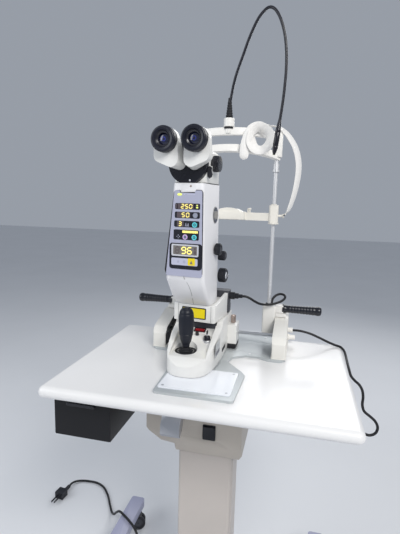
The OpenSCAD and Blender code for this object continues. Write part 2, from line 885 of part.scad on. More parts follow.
module control_panel() {
  color("#b5b6c6") at_arm() translate([0, panel_v, 0])
    rotate([90, 0, 0]) difference() {
      linear_extrude(2) polygon([[-48, panel_low], [42, panel_low],
        [45, panel_low + 4], [41, panel_high - 4], [39, panel_high],
        [24, panel_high], [22, panel_high - 6], [-15, panel_high - 6],
        [-17, panel_high], [-28, panel_high], [-31, panel_high - 4],
        [-50, panel_low + 4]]);
      for (b = button_spots) {
        translate([b[0], b[1], -1]) cylinder(d = b[2] + 0.8, h = 4);
      }
    }
}

// Button centres on the panel: across, height and diameter
button_spots = [[24, 364, 13], [0, 334, 13], [23.5, 334, 13]];

module panel_button(k) {
  spot = button_spots[k];
  color("#8f93a2") at_arm() translate([spot[0], panel_v - 1.6, spot[1]])
    rotate([90, 0, 0]) cylinder(d = spot[2], h = 2.2);
}

module head_housing() {
  color("#ecebea") at_arm() {
    difference() {
      translate([1, -106, 462.5]) rbox(83, 108, 84, 12);
      translate([60, -60, 560]) rotate([0, 35, 0])
        cube([40, 260, 60], center = true);
    }
    translate([41, -150, 489]) cube([12, 5, 14]);
  }
  color("#121215") at_arm() intersection() {
    translate([0, -158, 508]) rotate([90, 0, 0]) cylinder(d = 97, h = 16);
    translate([-60, -180, 462.5]) cube([120, 30, 110]);
  }
}

module mag_drum() {
  color("#15161c") at_arm() translate([42.8, -110, 511.5]) rod_x(38, 18);
}

module head_lever() {
  color("#17181d") at_arm() translate([49, -150.3, 497]) rotate([90, 0, 0]) {
    cylinder(d = 11, h = 4);
    linear_extrude(4) polygon([[-5, 0], [5, 0], [7.5, -12], [5, -20],
      [0, -23], [-5, -18]]);
  }
}

// One half of the binocular, built on the +X side about its swing axis
module prism_tube(s) {
  offset_x = pupil_gap / 2;
  color("#ebeae8") at_arm() translate([0, -174.5, 508])
    mirror([s < 0 ? 1 : 0, 0, 0]) rotate([90, 0, 0]) hull() {
      translate([19, 0, 0]) cylinder(d = 32, h = 1, $fn = 32);
      translate([offset_x + 1, 46, 26]) cylinder(d = 62, h = 14, $fn = 32);
      translate([offset_x - 12, 6, 14]) cylinder(d = 36, h = 26, $fn = 32);
      translate([offset_x + 16, 14, 14]) cylinder(d = 30, h = 26, $fn = 32);
    }
}

module eyepiece(s) {
  color("#121318") at_arm() translate([s * pupil_gap / 2, eye_v, eye_z])
    rotate([-90, 0, 0]) difference() {
      translate([0, 0, -4]) cylinder(d = eyecup_d, h = 21);
      translate([0, 0, -5]) cylinder(d = 44, h = 9);
    }
}

// ------------------------------------------------------- illumination arm

module lamp_arm() {
  color("#d9d9d8") at_arm() {
    difference() {
      translate([0, 0, 172]) cylinder(d = 44, h = 16);
      translate([0, 0, 160]) cylinder(d = 28 + 2 * fit, h = 40);
    }
    translate([4, -32, 172]) rbox(40, 22, 128, 5);
    translate([23, -24, 221]) rod_x(14, 17.6);
    translate([23, -24, 275]) rod_x(12, 13.6);
    translate([4, -32, 300]) cylinder(d = 22, h = 176);
    translate([4, -32, 476]) rbox(20, 22, 34, 3);
  }
}

module slit_knob() {
  color("#15161a") at_arm() translate([41, -24, 221]) {
    rod_x(39, 20);
    rod_x(8, 26);
  }
}

module filter_knob() {
  color("#15161a") at_arm() translate([37, -24, 275]) rod_x(26, 20);
}

module spot_knob() {
  color("#15161a") at_arm() translate([49.4, -88, 299]) rod_x(31, 14);
}

floor_frame();
outer_column();
mains_lead();
mains_plug();
caster_fork(0);  // caster_fork_1
caster_fork(1);  // caster_fork_2
caster_fork(2);  // caster_fork_3
caster_fork(3);  // caster_fork_4
caster_wheel(0);  // caster_wheel_1
caster_wheel(1);  // caster_wheel_2
caster_wheel(2);  // caster_wheel_3
caster_wheel(3);  // caster_wheel_4
lift_mast();
under_housing();
tabletop();
base_plate();
slide_plate();
rail_covers();
rocker_switch();
release_lever();
drawer();
drawer_runners();
headrest_poles();
pole_brackets();
hand_grips();
forehead_frame();
chin_rest();
head_belt();
fixation_arm();
fixation_lamp();
data_lead();
axle_guides();
drive_axle();
base_body();
joystick_gimbal();
joystick_stem();
joystick();
red_switch();
key_switch();
lock_screw();
pillar();
signal_plug();
signal_lead();
scope_arm();
tower_shell();
control_panel();
head_housing();
prism_tube(-1);  // left_tube
prism_tube(1);  // right_tube
eyepiece(-1);  // left_eyepiece
eyepiece(1);  // right_eyepiece
mag_drum();
head_lever();
spot_knob();
lamp_arm();
slit_knob();
filter_knob();
panel_button(0);  // mode_button
panel_button(1);  // minus_button
panel_button(2);  // plus_button
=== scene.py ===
"""Looks of the slit lamp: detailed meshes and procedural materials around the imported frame."""
import math

import bmesh
import bpy
from mathutils import Matrix, Vector, noise


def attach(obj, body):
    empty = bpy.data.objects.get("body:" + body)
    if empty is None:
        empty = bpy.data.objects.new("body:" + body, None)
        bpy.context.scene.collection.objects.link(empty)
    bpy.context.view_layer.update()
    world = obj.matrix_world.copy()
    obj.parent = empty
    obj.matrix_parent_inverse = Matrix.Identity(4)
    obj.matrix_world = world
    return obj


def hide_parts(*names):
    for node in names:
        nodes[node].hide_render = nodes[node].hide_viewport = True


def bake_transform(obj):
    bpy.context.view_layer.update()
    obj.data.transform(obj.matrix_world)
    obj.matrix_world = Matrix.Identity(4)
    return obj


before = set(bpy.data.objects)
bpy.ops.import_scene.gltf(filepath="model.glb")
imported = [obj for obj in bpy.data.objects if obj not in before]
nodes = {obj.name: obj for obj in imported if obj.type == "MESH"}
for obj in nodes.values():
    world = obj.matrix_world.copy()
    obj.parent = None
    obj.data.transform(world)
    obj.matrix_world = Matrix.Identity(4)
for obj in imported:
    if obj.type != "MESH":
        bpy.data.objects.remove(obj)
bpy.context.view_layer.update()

TABLE = 0.750
ARM_TURN = math.radians(-7)
ARM_AT = Vector((-0.042, 0.115, TABLE))


def mm(*values):
    """Millimetres to a vector in metres."""
    return Vector([v / 1000 for v in values])


def top(x, y, z):
    """A point measured in millimetres from the middle of the tabletop's surface."""
    return mm(x, y, z) + Vector((0, 0, TABLE))


TO_TOP = Matrix.Translation((0, 0, TABLE))
TO_ARM = Matrix.Translation(ARM_AT) @ Matrix.Rotation(ARM_TURN, 4, "Z")


def arm(u, v, z):
    """A point in the microscope arm's own axes, in millimetres."""
    return TO_ARM @ mm(u, v, z)


# ---------------------------------------------------------------- camera and light

cam_data = bpy.data.cameras.new("camera")
camera = bpy.data.objects.new("camera", cam_data)
bpy.context.scene.collection.objects.link(camera)
bpy.context.scene.camera = camera
cam_data.sensor_fit = "VERTICAL"
cam_data.sensor_height = 36
cam_data.lens = 27.955
cam_data.clip_start = 0.02
camera.location = (0.2055, -1.0244, TABLE + 0.4182)
camera.rotation_euler = [math.radians(a) for a in (81.101, -1.483, 13.692)]


def area_light(name, at, aim, size, power, colour=(1, 1, 1)):
    data = bpy.data.lights.new(name, "AREA")
    data.shape = "RECTANGLE"
    data.size, data.size_y = size
    data.energy = power
    data.color = colour
    light = bpy.data.objects.new(name, data)
    light.location = at
    light.rotation_euler = (Vector(aim) - Vector(at)).to_track_quat("-Z", "Y").to_euler()
    bpy.context.scene.collection.objects.link(light)


area_light("key", (1.5, -2.0, 2.9), (0, 0, 0.9), (1.3, 1.3), 74, (1, 0.985, 0.96))
area_light("fill", (-2.4, -1.4, 2.0), (0, 0, 0.8), (1.8, 1.8), 30, (0.94, 0.97, 1))
area_light("back", (0.6, 2.6, 2.4), (0, 0, 0.9), (2.0, 1.4), 26)

bpy.context.scene.view_settings.view_transform = "Standard"
world = bpy.data.worlds.new("studio")
bpy.context.scene.world = world
world.use_nodes = True
world.node_tree.nodes["Background"].inputs[0].default_value = (0.50, 0.545, 0.62, 1)
world.node_tree.nodes["Background"].inputs[1].default_value = 0.62


# ---------------------------------------------------------------- materials

def material(name, colour, rough=0.45, metal=0.0, vary=0.04, patch=9.0, grain=700.0, bump=0.12, depth=0.0002,
             coat=0.0, stretch=(1, 1, 1), wear=0.0, worn=(0.6, 0.6, 0.6), sheen=0.0, rough_vary=0.06, glow=0.0,
             specular=0.5):
    """A surface with slow colour drift, fine grain in bump and roughness, and paler worn edges."""
    m = bpy.data.materials.new(name)
    m.use_nodes = True
    nt = m.node_tree
    bsdf = nt.nodes["Principled BSDF"]
    new, link = nt.nodes.new, nt.links.new
    bsdf.inputs["Metallic"].default_value = metal
    bsdf.inputs["Coat Weight"].default_value = coat
    bsdf.inputs["Coat Roughness"].default_value = 0.15
    bsdf.inputs["Sheen Weight"].default_value = sheen
    bsdf.inputs["Specular IOR Level"].default_value = specular
    if glow:
        bsdf.inputs["Emission Color"].default_value = (*colour, 1)
        bsdf.inputs["Emission Strength"].default_value = glow
    where = new("ShaderNodeTexCoord")
    scale = new("ShaderNodeMapping")
    scale.inputs["Scale"].default_value = stretch
    link(where.outputs["Object"], scale.inputs["Vector"])
    slow = new("ShaderNodeTexNoise")
    slow.inputs["Scale"].default_value = patch
    slow.inputs["Detail"].default_value = 4
    link(scale.outputs[0], slow.inputs["Vector"])
    fine = new("ShaderNodeTexNoise")
    fine.inputs["Scale"].default_value = grain
    fine.inputs["Detail"].default_value = 2
    link(scale.outputs[0], fine.inputs["Vector"])
    ramp = new("ShaderNodeValToRGB")
    ramp.color_ramp.elements[0].position = 0.3
    ramp.color_ramp.elements[1].position = 0.7
    ramp.color_ramp.elements[0].color = (*[c * (1 - vary) for c in colour], 1)
    ramp.color_ramp.elements[1].color = (*[min(1, c * (1 + vary)) for c in colour], 1)
    link(slow.outputs["Fac"], ramp.inputs["Fac"])
    shade = ramp.outputs["Color"]
    if wear:
        geo = new("ShaderNodeNewGeometry")
        edge = new("ShaderNodeMapRange")
        edge.inputs["From Min"].default_value = 0.53
        edge.inputs["From Max"].default_value = 0.62
        edge.inputs["To Max"].default_value = wear
        link(geo.outputs["Pointiness"], edge.inputs["Value"])
        mix = new("ShaderNodeMix")
        mix.data_type = "RGBA"
        mix.inputs["B"].default_value = (*worn, 1)
        link(edge.outputs[0], mix.inputs["Factor"])
        link(shade, mix.inputs["A"])
        shade = mix.outputs["Result"]
    link(shade, bsdf.inputs["Base Color"])
    gloss = new("ShaderNodeMapRange")
    gloss.inputs["To Min"].default_value = max(0.02, rough - rough_vary)
    gloss.inputs["To Max"].default_value = min(1, rough + rough_vary)
    link(slow.outputs["Fac"], gloss.inputs["Value"])
    link(gloss.outputs[0], bsdf.inputs["Roughness"])
    bumps = new("ShaderNodeBump")
    bumps.inputs["Strength"].default_value = bump
    bumps.inputs["Distance"].default_value = depth
    link(fine.outputs["Fac"], bumps.inputs["Height"])
    link(bumps.outputs["Normal"], bsdf.inputs["Normal"])
    return m


WHITE_PAINT = material("white_paint", (0.80, 0.79, 0.76), 0.34, vary=0.02, grain=260, bump=0.10, coat=0.25, wear=0.25, worn=(0.86, 0.85, 0.82))
TOWER_WHITE = material("tower_white", (0.80, 0.79, 0.80), 0.36, vary=0.02, grain=900, bump=0.16, coat=0.15)
TABLE_WHITE = material("table_white", (0.84, 0.83, 0.82), 0.30, vary=0.015, patch=4, grain=500, bump=0.10, coat=0.3)
COVER_WHITE = material("cover_white", (0.80, 0.78, 0.73), 0.42, vary=0.025, grain=900, bump=0.2)
FRAME_WHITE = material("frame_white", (0.84, 0.82, 0.78), 0.36, vary=0.02, grain=700, bump=0.12, coat=0.1)
SLIDE_WHITE = material("slide_white", (0.86, 0.88, 0.92), 0.22, vary=0.015, grain=400, bump=0.05, coat=0.4)
PLATE_GREY = material("plate_grey", (0.52, 0.55, 0.56), 0.38, metal=0.35, vary=0.04, grain=900, bump=0.16)
BEIGE = material("beige_shell", (0.52, 0.47, 0.41), 0.48, vary=0.03, grain=800, bump=0.3)
COLUMN = material("column_paint", (0.55, 0.50, 0.46), 0.46, vary=0.03, grain=600, bump=0.25, wear=0.2, worn=(0.68, 0.65, 0.62))
LEG_PAINT = material("leg_paint", (0.36, 0.37, 0.50), 0.42, vary=0.03, grain=500, bump=0.25, wear=0.3, worn=(0.6, 0.6, 0.7))
STRIP_GREY = material("strip_grey", (0.16, 0.16, 0.19), 0.5, vary=0.05, grain=800, bump=0.3)
BLACK_PLASTIC = material("black_plastic", (0.012, 0.013, 0.018), 0.36, vary=0.2, grain=900, bump=0.25, wear=0.12, worn=(0.08, 0.08, 0.09), specular=0.32)
BLACK_RUBBER = material("black_rubber", (0.015, 0.015, 0.018), 0.62, vary=0.2, grain=1100, bump=0.45, wear=0.12, worn=(0.07, 0.07, 0.075), specular=0.32)
BLACK_METAL = material("black_metal", (0.014, 0.014, 0.02), 0.28, metal=0.2, vary=0.15, grain=600, bump=0.1, coat=0.3, wear=0.12, worn=(0.2, 0.2, 0.22), specular=0.32)
JOY_BLACK = material("joystick_black", (0.010, 0.012, 0.020), 0.42, vary=0.15, grain=1200, bump=0.4, specular=0.32)
CORD_BLACK = material("cord_black", (0.014, 0.014, 0.016), 0.5, vary=0.15, grain=900, bump=0.3, specular=0.32)
STEEL = material("brushed_steel", (0.80, 0.80, 0.81), 0.42, metal=0.75, vary=0.06, grain=900, bump=0.12, stretch=(1, 1, 0.05))
STEEL_X = material("turned_steel", (0.58, 0.59, 0.61), 0.28, metal=1, vary=0.06, grain=900, bump=0.15, stretch=(0.05, 1, 1))
ALU = material("satin_aluminium", (0.50, 0.51, 0.54), 0.36, metal=0.8, vary=0.05, grain=900, bump=0.2)
DARK_GREY = material("dark_grey", (0.055, 0.057, 0.068), 0.5, vary=0.08, grain=800, bump=0.25)
BRONZE = material("knob_bronze", (0.42, 0.34, 0.30), 0.3, metal=0.7, vary=0.08, grain=700, bump=0.15)
PANEL = material("panel_lilac", (0.40, 0.41, 0.52), 0.5, vary=0.02, grain=1400, bump=0.12)
PANEL_DARK = material("panel_dark", (0.22, 0.22, 0.27), 0.5, vary=0.03, grain=1400, bump=0.12)
BUTTON = material("button_grey", (0.30, 0.32, 0.40), 0.4, vary=0.03, grain=1200, bump=0.1)
LENS = material("lens_glass", (0.004, 0.006, 0.03), 0.05, vary=0.3, grain=30, bump=0.01, coat=1.0)
RED = material("red_rocker", (0.30, 0.015, 0.02), 0.25, vary=0.1, grain=900, bump=0.1, coat=0.5)
YELLOW = material("yellow_plate", (0.86, 0.68, 0.01), 0.4, vary=0.03, grain=900, bump=0.1)
BELT = material("belt_white", (0.82, 0.80, 0.77), 0.8, vary=0.03, grain=1500, bump=0.6, sheen=0.3, stretch=(1, 1, 0.4))
PAPER = material("paper_label", (0.84, 0.84, 0.83), 0.6, vary=0.02, grain=900, bump=0.1)
SILVER = material("silver_label", (0.62, 0.63, 0.64), 0.35, metal=0.6, vary=0.04, grain=900, bump=0.1)
TYRE = material("tyre_grey", (0.035, 0.035, 0.04), 0.7, vary=0.15, grain=900, bump=0.5, specular=0.32)
CHIN = material("chin_ivory", (0.80, 0.77, 0.70), 0.45, vary=0.03, grain=900, bump=0.2)

WINDOW_BLACK = material("window_black", (0.010, 0.010, 0.016), 0.12, vary=0.2, grain=600, bump=0.03, coat=0.6)
GLASS_GREY = material("display_glass", (0.20, 0.185, 0.17), 0.14, vary=0.06, grain=400, bump=0.02, coat=0.8)
SILVER_PLASTIC = material("silver_plastic", (0.72, 0.72, 0.76), 0.30, metal=0.35, vary=0.03, grain=900, bump=0.08)
PANEL_PALE = material("panel_pale", (0.50, 0.51, 0.63), 0.45, vary=0.02, grain=1200, bump=0.08)
LED_LIME = material("led_lime", (0.74, 0.86, 0.16), 0.4, vary=0.06, grain=500, bump=0.05, glow=0.55)
LED_AMBER = material("led_amber", (0.95, 0.80, 0.22), 0.4, vary=0.06, grain=500, bump=0.05, glow=0.6)
FIELD_BROWN = material("field_brown", (0.10, 0.075, 0.085), 0.3, vary=0.12, grain=600, bump=0.05, coat=0.4)
RING_CYAN = material("ring_cyan", (0.12, 0.66, 0.72), 0.35, vary=0.05, grain=900, bump=0.08)
RING_LILAC = material("ring_lilac", (0.60, 0.42, 0.72), 0.35, vary=0.05, grain=900, bump=0.08)
RING_DARK = material("ring_dark", (0.03, 0.10, 0.12), 0.35, vary=0.1, grain=900, bump=0.08)
SEAM_GREY = material("seam_grey", (0.30, 0.30, 0.29), 0.6, vary=0.05, grain=900, bump=0.1)
EYECUP = material("eyecup_rubber", (0.010, 0.011, 0.020), 0.34, vary=0.2, grain=1300, bump=0.3, coat=0.15, wear=0.12, worn=(0.09, 0.09, 0.11), specular=0.32)
COATING = material("lens_coating", (0.02, 0.03, 0.22), 0.08, vary=0.3, grain=60, bump=0.02, coat=1.0)
GOOSENECK = material("gooseneck_sleeve", (0.012, 0.012, 0.018), 0.36, vary=0.2, grain=700, bump=0.25, coat=0.2, specular=0.32)
GRIP = material("grip_black", (0.009, 0.010, 0.016), 0.30, vary=0.25, grain=700, bump=0.2, coat=0.35, wear=0.12, worn=(0.05, 0.05, 0.06), specular=0.32)
DRAWER_BLACK = material("drawer_black", (0.006, 0.006, 0.008), 0.5, vary=0.15, grain=1000, bump=0.3, wear=0.2, worn=(0.06, 0.06, 0.065), specular=0.3)

NODE_LOOKS = {
    "floor_frame": LEG_PAINT, "outer_column": COLUMN, "lift_mast": ALU, "under_housing": BEIGE,
    "tabletop": TABLE_WHITE, "base_plate": PLATE_GREY, "slide_plate": SLIDE_WHITE, "rail_covers": COVER_WHITE,
    "rocker_switch": BLACK_PLASTIC, "release_lever": ALU, "drawer": DRAWER_BLACK, "drawer_runners": ALU,
    "headrest_poles": STEEL, "pole_brackets": FRAME_WHITE, "hand_grips": BLACK_RUBBER,
    "forehead_frame": FRAME_WHITE, "chin_rest": CHIN, "head_belt": BELT, "fixation_arm": BLACK_RUBBER,
    "fixation_lamp": BLACK_METAL, "axle_guides": ALU, "drive_axle": STEEL_X, "base_body": WHITE_PAINT,
    "joystick_gimbal": BLACK_RUBBER, "joystick_stem": BLACK_PLASTIC, "joystick": JOY_BLACK, "red_switch": RED,
    "key_switch": BLACK_METAL, "lock_screw": BRONZE, "pillar": DARK_GREY, "signal_plug": BLACK_PLASTIC,
    "scope_arm": WHITE_PAINT, "tower_shell": TOWER_WHITE, "control_panel": PANEL, "head_housing": WHITE_PAINT,
    "left_tube": WHITE_PAINT, "right_tube": WHITE_PAINT, "left_eyepiece": BLACK_RUBBER,
    "right_eyepiece": BLACK_RUBBER, "mag_drum": BLACK_METAL, "head_lever": BLACK_METAL,
    "spot_knob": BLACK_PLASTIC, "lamp_arm": WHITE_PAINT, "slit_knob": BLACK_PLASTIC,
    "filter_knob": BLACK_PLASTIC, "mode_button": BUTTON, "minus_button": BUTTON, "plus_button": BUTTON,
    "mains_lead": CORD_BLACK, "mains_plug": BLACK_PLASTIC, "data_lead": CORD_BLACK, "signal_lead": CORD_BLACK,
}
for k in range(1, 5):
    NODE_LOOKS[f"caster_fork_{k}"] = BLACK_PLASTIC
    NODE_LOOKS[f"caster_wheel_{k}"] = TYRE

BEVELS = {"base_body": 2.5, "under_housing": 3, "rail_covers": 1.2, "pole_brackets": 1.5, "floor_frame": 1.5,
          "outer_column": 1, "scope_arm": 2.5, "forehead_frame": 2, "chin_rest": 1.2, "release_lever": 3,
          "head_housing": 3, "pillar": 1.5, "drawer": 0.8, "lock_screw": 0.8, "mag_drum": 1, "slit_knob": 1.2,
          "filter_knob": 1, "spot_knob": 1, "lamp_arm": 1, "base_plate": 0.5, "tower_shell": 2.5,
          "key_switch": 0.6, "rocker_switch": 0.8, "red_switch": 0.5, "axle_guides": 0.6}


def soften(obj, width, angle=32):
    """Rounds the sharp edges of a mesh, after its flat faces are merged."""
    obj.modifiers.new("weld", "WELD").merge_threshold = 0.00001
    flat = obj.modifiers.new("flat", "DECIMATE")
    flat.decimate_type = "DISSOLVE"
    flat.angle_limit = math.radians(1.2)
    bevel = obj.modifiers.new("bevel", "BEVEL")
    bevel.width = width / 1000
    bevel.segments = 3
    bevel.limit_method = "ANGLE"
    bevel.angle_limit = math.radians(angle)
    bevel.harden_normals = True
    bevel.miter_outer = "MITER_ARC"


for name, look in NODE_LOOKS.items():
    obj = nodes[name]
    obj.data.materials.clear()
    obj.data.materials.append(look)
    for face in obj.data.polygons:
        face.use_smooth = True
    obj.data.set_sharp_from_angle(angle=math.radians(30))
    if name in BEVELS:
        soften(obj, BEVELS[name])

# The round mount that carries the two tubes is black; the housing behind it is white.
head = nodes["head_housing"].data
head.materials.append(BLACK_METAL)
back_to_arm = TO_ARM.inverted()
for face in head.polygons:
    if (back_to_arm @ face.center).y < -0.1601:
        face.material_index = 1

bm = bmesh.new()
bmesh.ops.create_grid(bm, x_segments=2, y_segments=2, size=14)
floor_mesh = bpy.data.meshes.new("floor")
bm.to_mesh(floor_mesh)
bm.free()
floor = bpy.data.objects.new("floor", floor_mesh)
bpy.context.scene.collection.objects.link(floor)
floor.location.z = -0.0005
floor.data.materials.append(material("floor_pale", (0.74, 0.75, 0.77), 0.7, vary=0.02, patch=1.5, grain=80, bump=0.05))

# ---------------------------------------------------------------- mesh helpers

def new_piece(name, verts, faces, look, body, smooth=32):
    """A mesh piece from points in metres, with clean normals. It rides on body, if one is given."""
    mesh = bpy.data.meshes.new(name)
    mesh.from_pydata([tuple(v) for v in verts], [], faces)
    bm = bmesh.new()
    bm.from_mesh(mesh)
    bmesh.ops.remove_doubles(bm, verts=bm.verts, dist=0.000002)
    bmesh.ops.recalc_face_normals(bm, faces=bm.faces)
    for face in bm.faces:
        face.smooth = True
    bm.to_mesh(mesh)
    bm.free()
    mesh.set_sharp_from_angle(angle=math.radians(smooth))
    mesh.materials.append(look)
    piece = bpy.data.objects.new(name, mesh)
    bpy.context.scene.collection.objects.link(piece)
    if body:
        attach(piece, body)
    return piece


def bevelled(piece, width, segments=3, angle=32):
    """Rounds a piece's sharp edges; width is in millimetres."""
    bevel = piece.modifiers.new("bevel", "BEVEL")
    bevel.width = width / 1000
    bevel.segments = segments
    bevel.limit_method = "ANGLE"
    bevel.angle_limit = math.radians(angle)
    bevel.harden_normals = True
    return piece


def lathe(name, profile, place, look, body, segments=56, smooth=32):
    """Turns a (radius, height) profile in millimetres round the Z axis of place."""
    rings, verts, faces = [], [], []
    for radius, height in profile:
        if radius < 1e-6:
            rings.append([len(verts)])
            verts.append(place @ mm(0, 0, height))
            continue
        rings.append(list(range(len(verts), len(verts) + segments)))
        for k in range(segments):
            a = 2 * math.pi * k / segments
            verts.append(place @ mm(radius * math.cos(a), radius * math.sin(a), height))
    for low, high in zip(rings, rings[1:]):
        for k in range(segments):
            n = (k + 1) % segments
            if len(low) == 1:
                faces.append((low[0], high[n], high[k]))
            elif len(high) == 1:
                faces.append((low[k], low[n], high[0]))
            else:
                faces.append((low[k], low[n], high[n], high[k]))
    if len(rings[0]) > 1 and len(rings[-1]) > 1:
        for k in range(segments):
            n = (k + 1) % segments
            faces.append((rings[-1][k], rings[-1][n], rings[0][n], rings[0][k]))
    return new_piece(name, verts, faces, look, body, smooth)


def slab_mesh(outlines, low, high, place):
    """Points and faces of flat plates with these outlines, between two heights in millimetres."""
    verts, faces = [], []
    for outline in outlines:
        first, count = len(verts), len(outline)
        verts += [place @ mm(x, y, low) for x, y in outline]
        verts += [place @ mm(x, y, high) for x, y in outline]
        faces.append(tuple(range(first + count - 1, first - 1, -1)))
        faces.append(tuple(range(first + count, first + 2 * count)))
        for k in range(count):
            n = (k + 1) % count
            faces.append((first + k, first + n, first + count + n, first + count + k))
    return verts, faces


def slabs(name, outlines, low, high, place, look, body, bevel=0.0):
    piece = new_piece(name, *slab_mesh(outlines, low, high, place), look, body)
    return bevelled(piece, bevel, 2) if bevel else piece


def rounded(left, low, right, high, radius, steps=5):
    """Outline of a rectangle with round corners."""
    points = []
    corners = ((right - radius, high - radius, 0), (left + radius, high - radius, 90),
               (left + radius, low + radius, 180), (right - radius, low + radius, 270))
    for x, y, start in corners:
        for k in range(steps + 1):
            a = math.radians(start + 90 * k / steps)
            points.append((x + radius * math.cos(a), y + radius * math.sin(a)))
    return points


def frame_piece(name, outer, inner, low, high, inner_high, place, look, body, bevel):
    """A flat frame between two outlines of as many points, from low to high along the Z axis of place."""
    count = len(outer)
    verts = [place @ mm(x, y, z) for z in (low, high) for x, y in outer]
    verts += [place @ mm(x, y, z) for z in (low, inner_high) for x, y in inner]
    faces = []
    for k in range(count):
        n = (k + 1) % count
        a, b, c, d = 0, count, 2 * count, 3 * count
        faces += [(a + k, a + n, b + n, b + k), (b + k, b + n, d + n, d + k),
                  (d + k, d + n, c + n, c + k), (c + k, c + n, a + n, a + k)]
    return bevelled(new_piece(name, verts, faces, look, body), bevel, 2)


def disc(x, y, radius, steps=28):
    return [(x + radius * math.cos(2 * math.pi * k / steps), y + radius * math.sin(2 * math.pi * k / steps))
            for k in range(steps)]


def curve_through(points, steps):
    """A smooth curve through all the points, as in the CAD source."""
    out = []
    last = len(points) - 1
    for i in range(last):
        p0, p1, p2, p3 = (points[max(i - 1, 0)], points[i], points[i + 1], points[min(i + 2, last)])
        for k in range(steps):
            t = k / steps
            out.append(0.5 * (2 * p1 + (p2 - p0) * t + (2 * p0 - 5 * p1 + 4 * p2 - p3) * t * t
                              + (3 * p1 - p0 - 3 * p2 + p3) * t * t * t))
    return out + [points[last]]


def length_of(points):
    return sum((b - a).length for a, b in zip(points, points[1:]))


def swept(name, path, sections, first, look, body, smooth=50):
    """Sweeps closed sections, lists of (across, up) in millimetres, along a path in metres."""
    verts, faces = [], []
    across = Vector(first)
    count = len(sections[0])
    for i, p in enumerate(path):
        along = (path[min(i + 1, len(path) - 1)] - path[max(i - 1, 0)]).normalized()
        across = (across - along * across.dot(along)).normalized()
        up = along.cross(across)
        verts += [p + (across * a + up * b) / 1000 for a, b in sections[i]]
    for i in range(len(path) - 1):
        for k in range(count):
            n = (k + 1) % count
            faces.append((i * count + k, i * count + n, (i + 1) * count + n, (i + 1) * count + k))
    faces.append(tuple(range(count)))
    faces.append(tuple(range(len(path) * count - 1, (len(path) - 1) * count - 1, -1)))
    return new_piece(name, verts, faces, look, body, smooth)


def tube(name, path, diameters, look, body, sides=14):
    """A round tube; diameters is one number or one for each point, in millimetres."""
    if not isinstance(diameters, (list, tuple)):
        diameters = [diameters] * len(path)
    sections = [disc(0, 0, d / 2, sides) for d in diameters]
    return swept(name, path, sections, (0.31, 0.12, 0.94), look, body)


def ribbon(name, path, widths, facing, look, body, thick=2.0):
    """A flat strap: facing gives its width direction at each point, widths its width in millimetres."""
    verts, faces = [], []
    half = thick / 2
    for i, p in enumerate(path):
        along = (path[min(i + 1, len(path) - 1)] - path[max(i - 1, 0)]).normalized()
        wide = (facing[i] - along * facing[i].dot(along)).normalized()
        up = along.cross(wide)
        w = widths[i] / 2
        section = [(-w, -half * 0.3), (-w + 0.6, -half), (w - 0.6, -half), (w, -half * 0.3),
                   (w, half * 0.3), (w - 0.6, half), (-w + 0.6, half), (-w, half * 0.3)]
        verts += [p + (wide * a + up * b) / 1000 for a, b in section]
    for i in range(len(path) - 1):
        for k in range(8):
            n = (k + 1) % 8
            faces.append((i * 8 + k, i * 8 + n, i * 8 + 8 + n, i * 8 + 8 + k))
    faces.append(tuple(range(8)))
    faces.append(tuple(range(len(path) * 8 - 1, (len(path) - 1) * 8 - 1, -1)))
    return new_piece(name, verts, faces, look, body, 60)


def facing_out(matrix, at, outward):
    """A place whose Z axis points outward from a point of the matrix's own axes."""
    turn = Vector(outward).to_track_quat("Z", "Y").to_matrix().to_4x4()
    return matrix @ Matrix.Translation(mm(*at)) @ turn


PANEL_AXES = Matrix(((1, 0, 0, 0), (0, 0, -1, 0), (0, 1, 0, 0), (0, 0, 0, 1)))


def on_front(v):
    """Axes on a plane of the arm that faces the operator: across, height, and out of the plane."""
    return TO_ARM @ Matrix.Translation(mm(0, v, 0)) @ PANEL_AXES


SIDE_AXES = Matrix(((0, 0, 1, 0), (1, 0, 0, 0), (0, 1, 0, 0), (0, 0, 0, 1)))


def on_right(u):
    """Axes on a plane of the arm that faces right: depth, height, and out of the plane."""
    return TO_ARM @ Matrix.Translation(mm(u, 0, 0)) @ SIDE_AXES


# ---------------------------------------------------------------- cords

MAINS_ROUTE = [mm(*p) for p in (
    (0, 72, 104), (0, 88, 103.4), (-1, 104, 96), (-3, 119, 78), (-6, 133, 52), (-11, 148, 26), (-21, 165, 9),
    (-38, 180, 4), (-62, 188, 4), (-88, 185, 4), (-118, 162, 4), (-146, 128, 4), (-182, 100, 5), (-216, 98, 22), (-246, 112, 58),
    (-272, 130, 84), (-296, 148, 89), (-330, 172, 89), (-354, 190, 83), (-376, 210, 58), (-396, 234, 28),
    (-418, 262, 9), (-444, 300, 4), (-474, 344, 4), (-512, 384, 4), (-552, 402, 4), (-590, 402, 4),
    (-615, 397, 5), (-634.5, 384.5, 7.5), (-645, 366, 10), (-646.1, 344.2, 11))]
DATA_ROUTE = [top(*p) for p in (
    (201, 215, 44), (223, 215, 44), (252, 217, 38), (282, 220, 26), (307, 226, 14), (327, 230, 6),
    (341.2, 224, 4), (348, 216.5, 0.6), (352.8, 205, -4.6), (355.2, 180, -12), (355, 140, -14), (356, 108, -18), (359, 84, -26), (367, 67, -31),
    (377, 58.5, -37), (385, 54, -49), (388, 50, -66), (387, 45, -84), (392, 40, -99), (407, 38, -110), (420, 36.5, -121),
    (426.5, 35, -136), (422, 33.5, -151), (408, 32, -158), (392, 30, -153), (374, 27, -141), (348, 22, -127),
    (320, 17, -117), (290, 12, -110), (230, 6, -106), (170, 2, -102), (130, 0, -100), (102.5, 0, -100))]
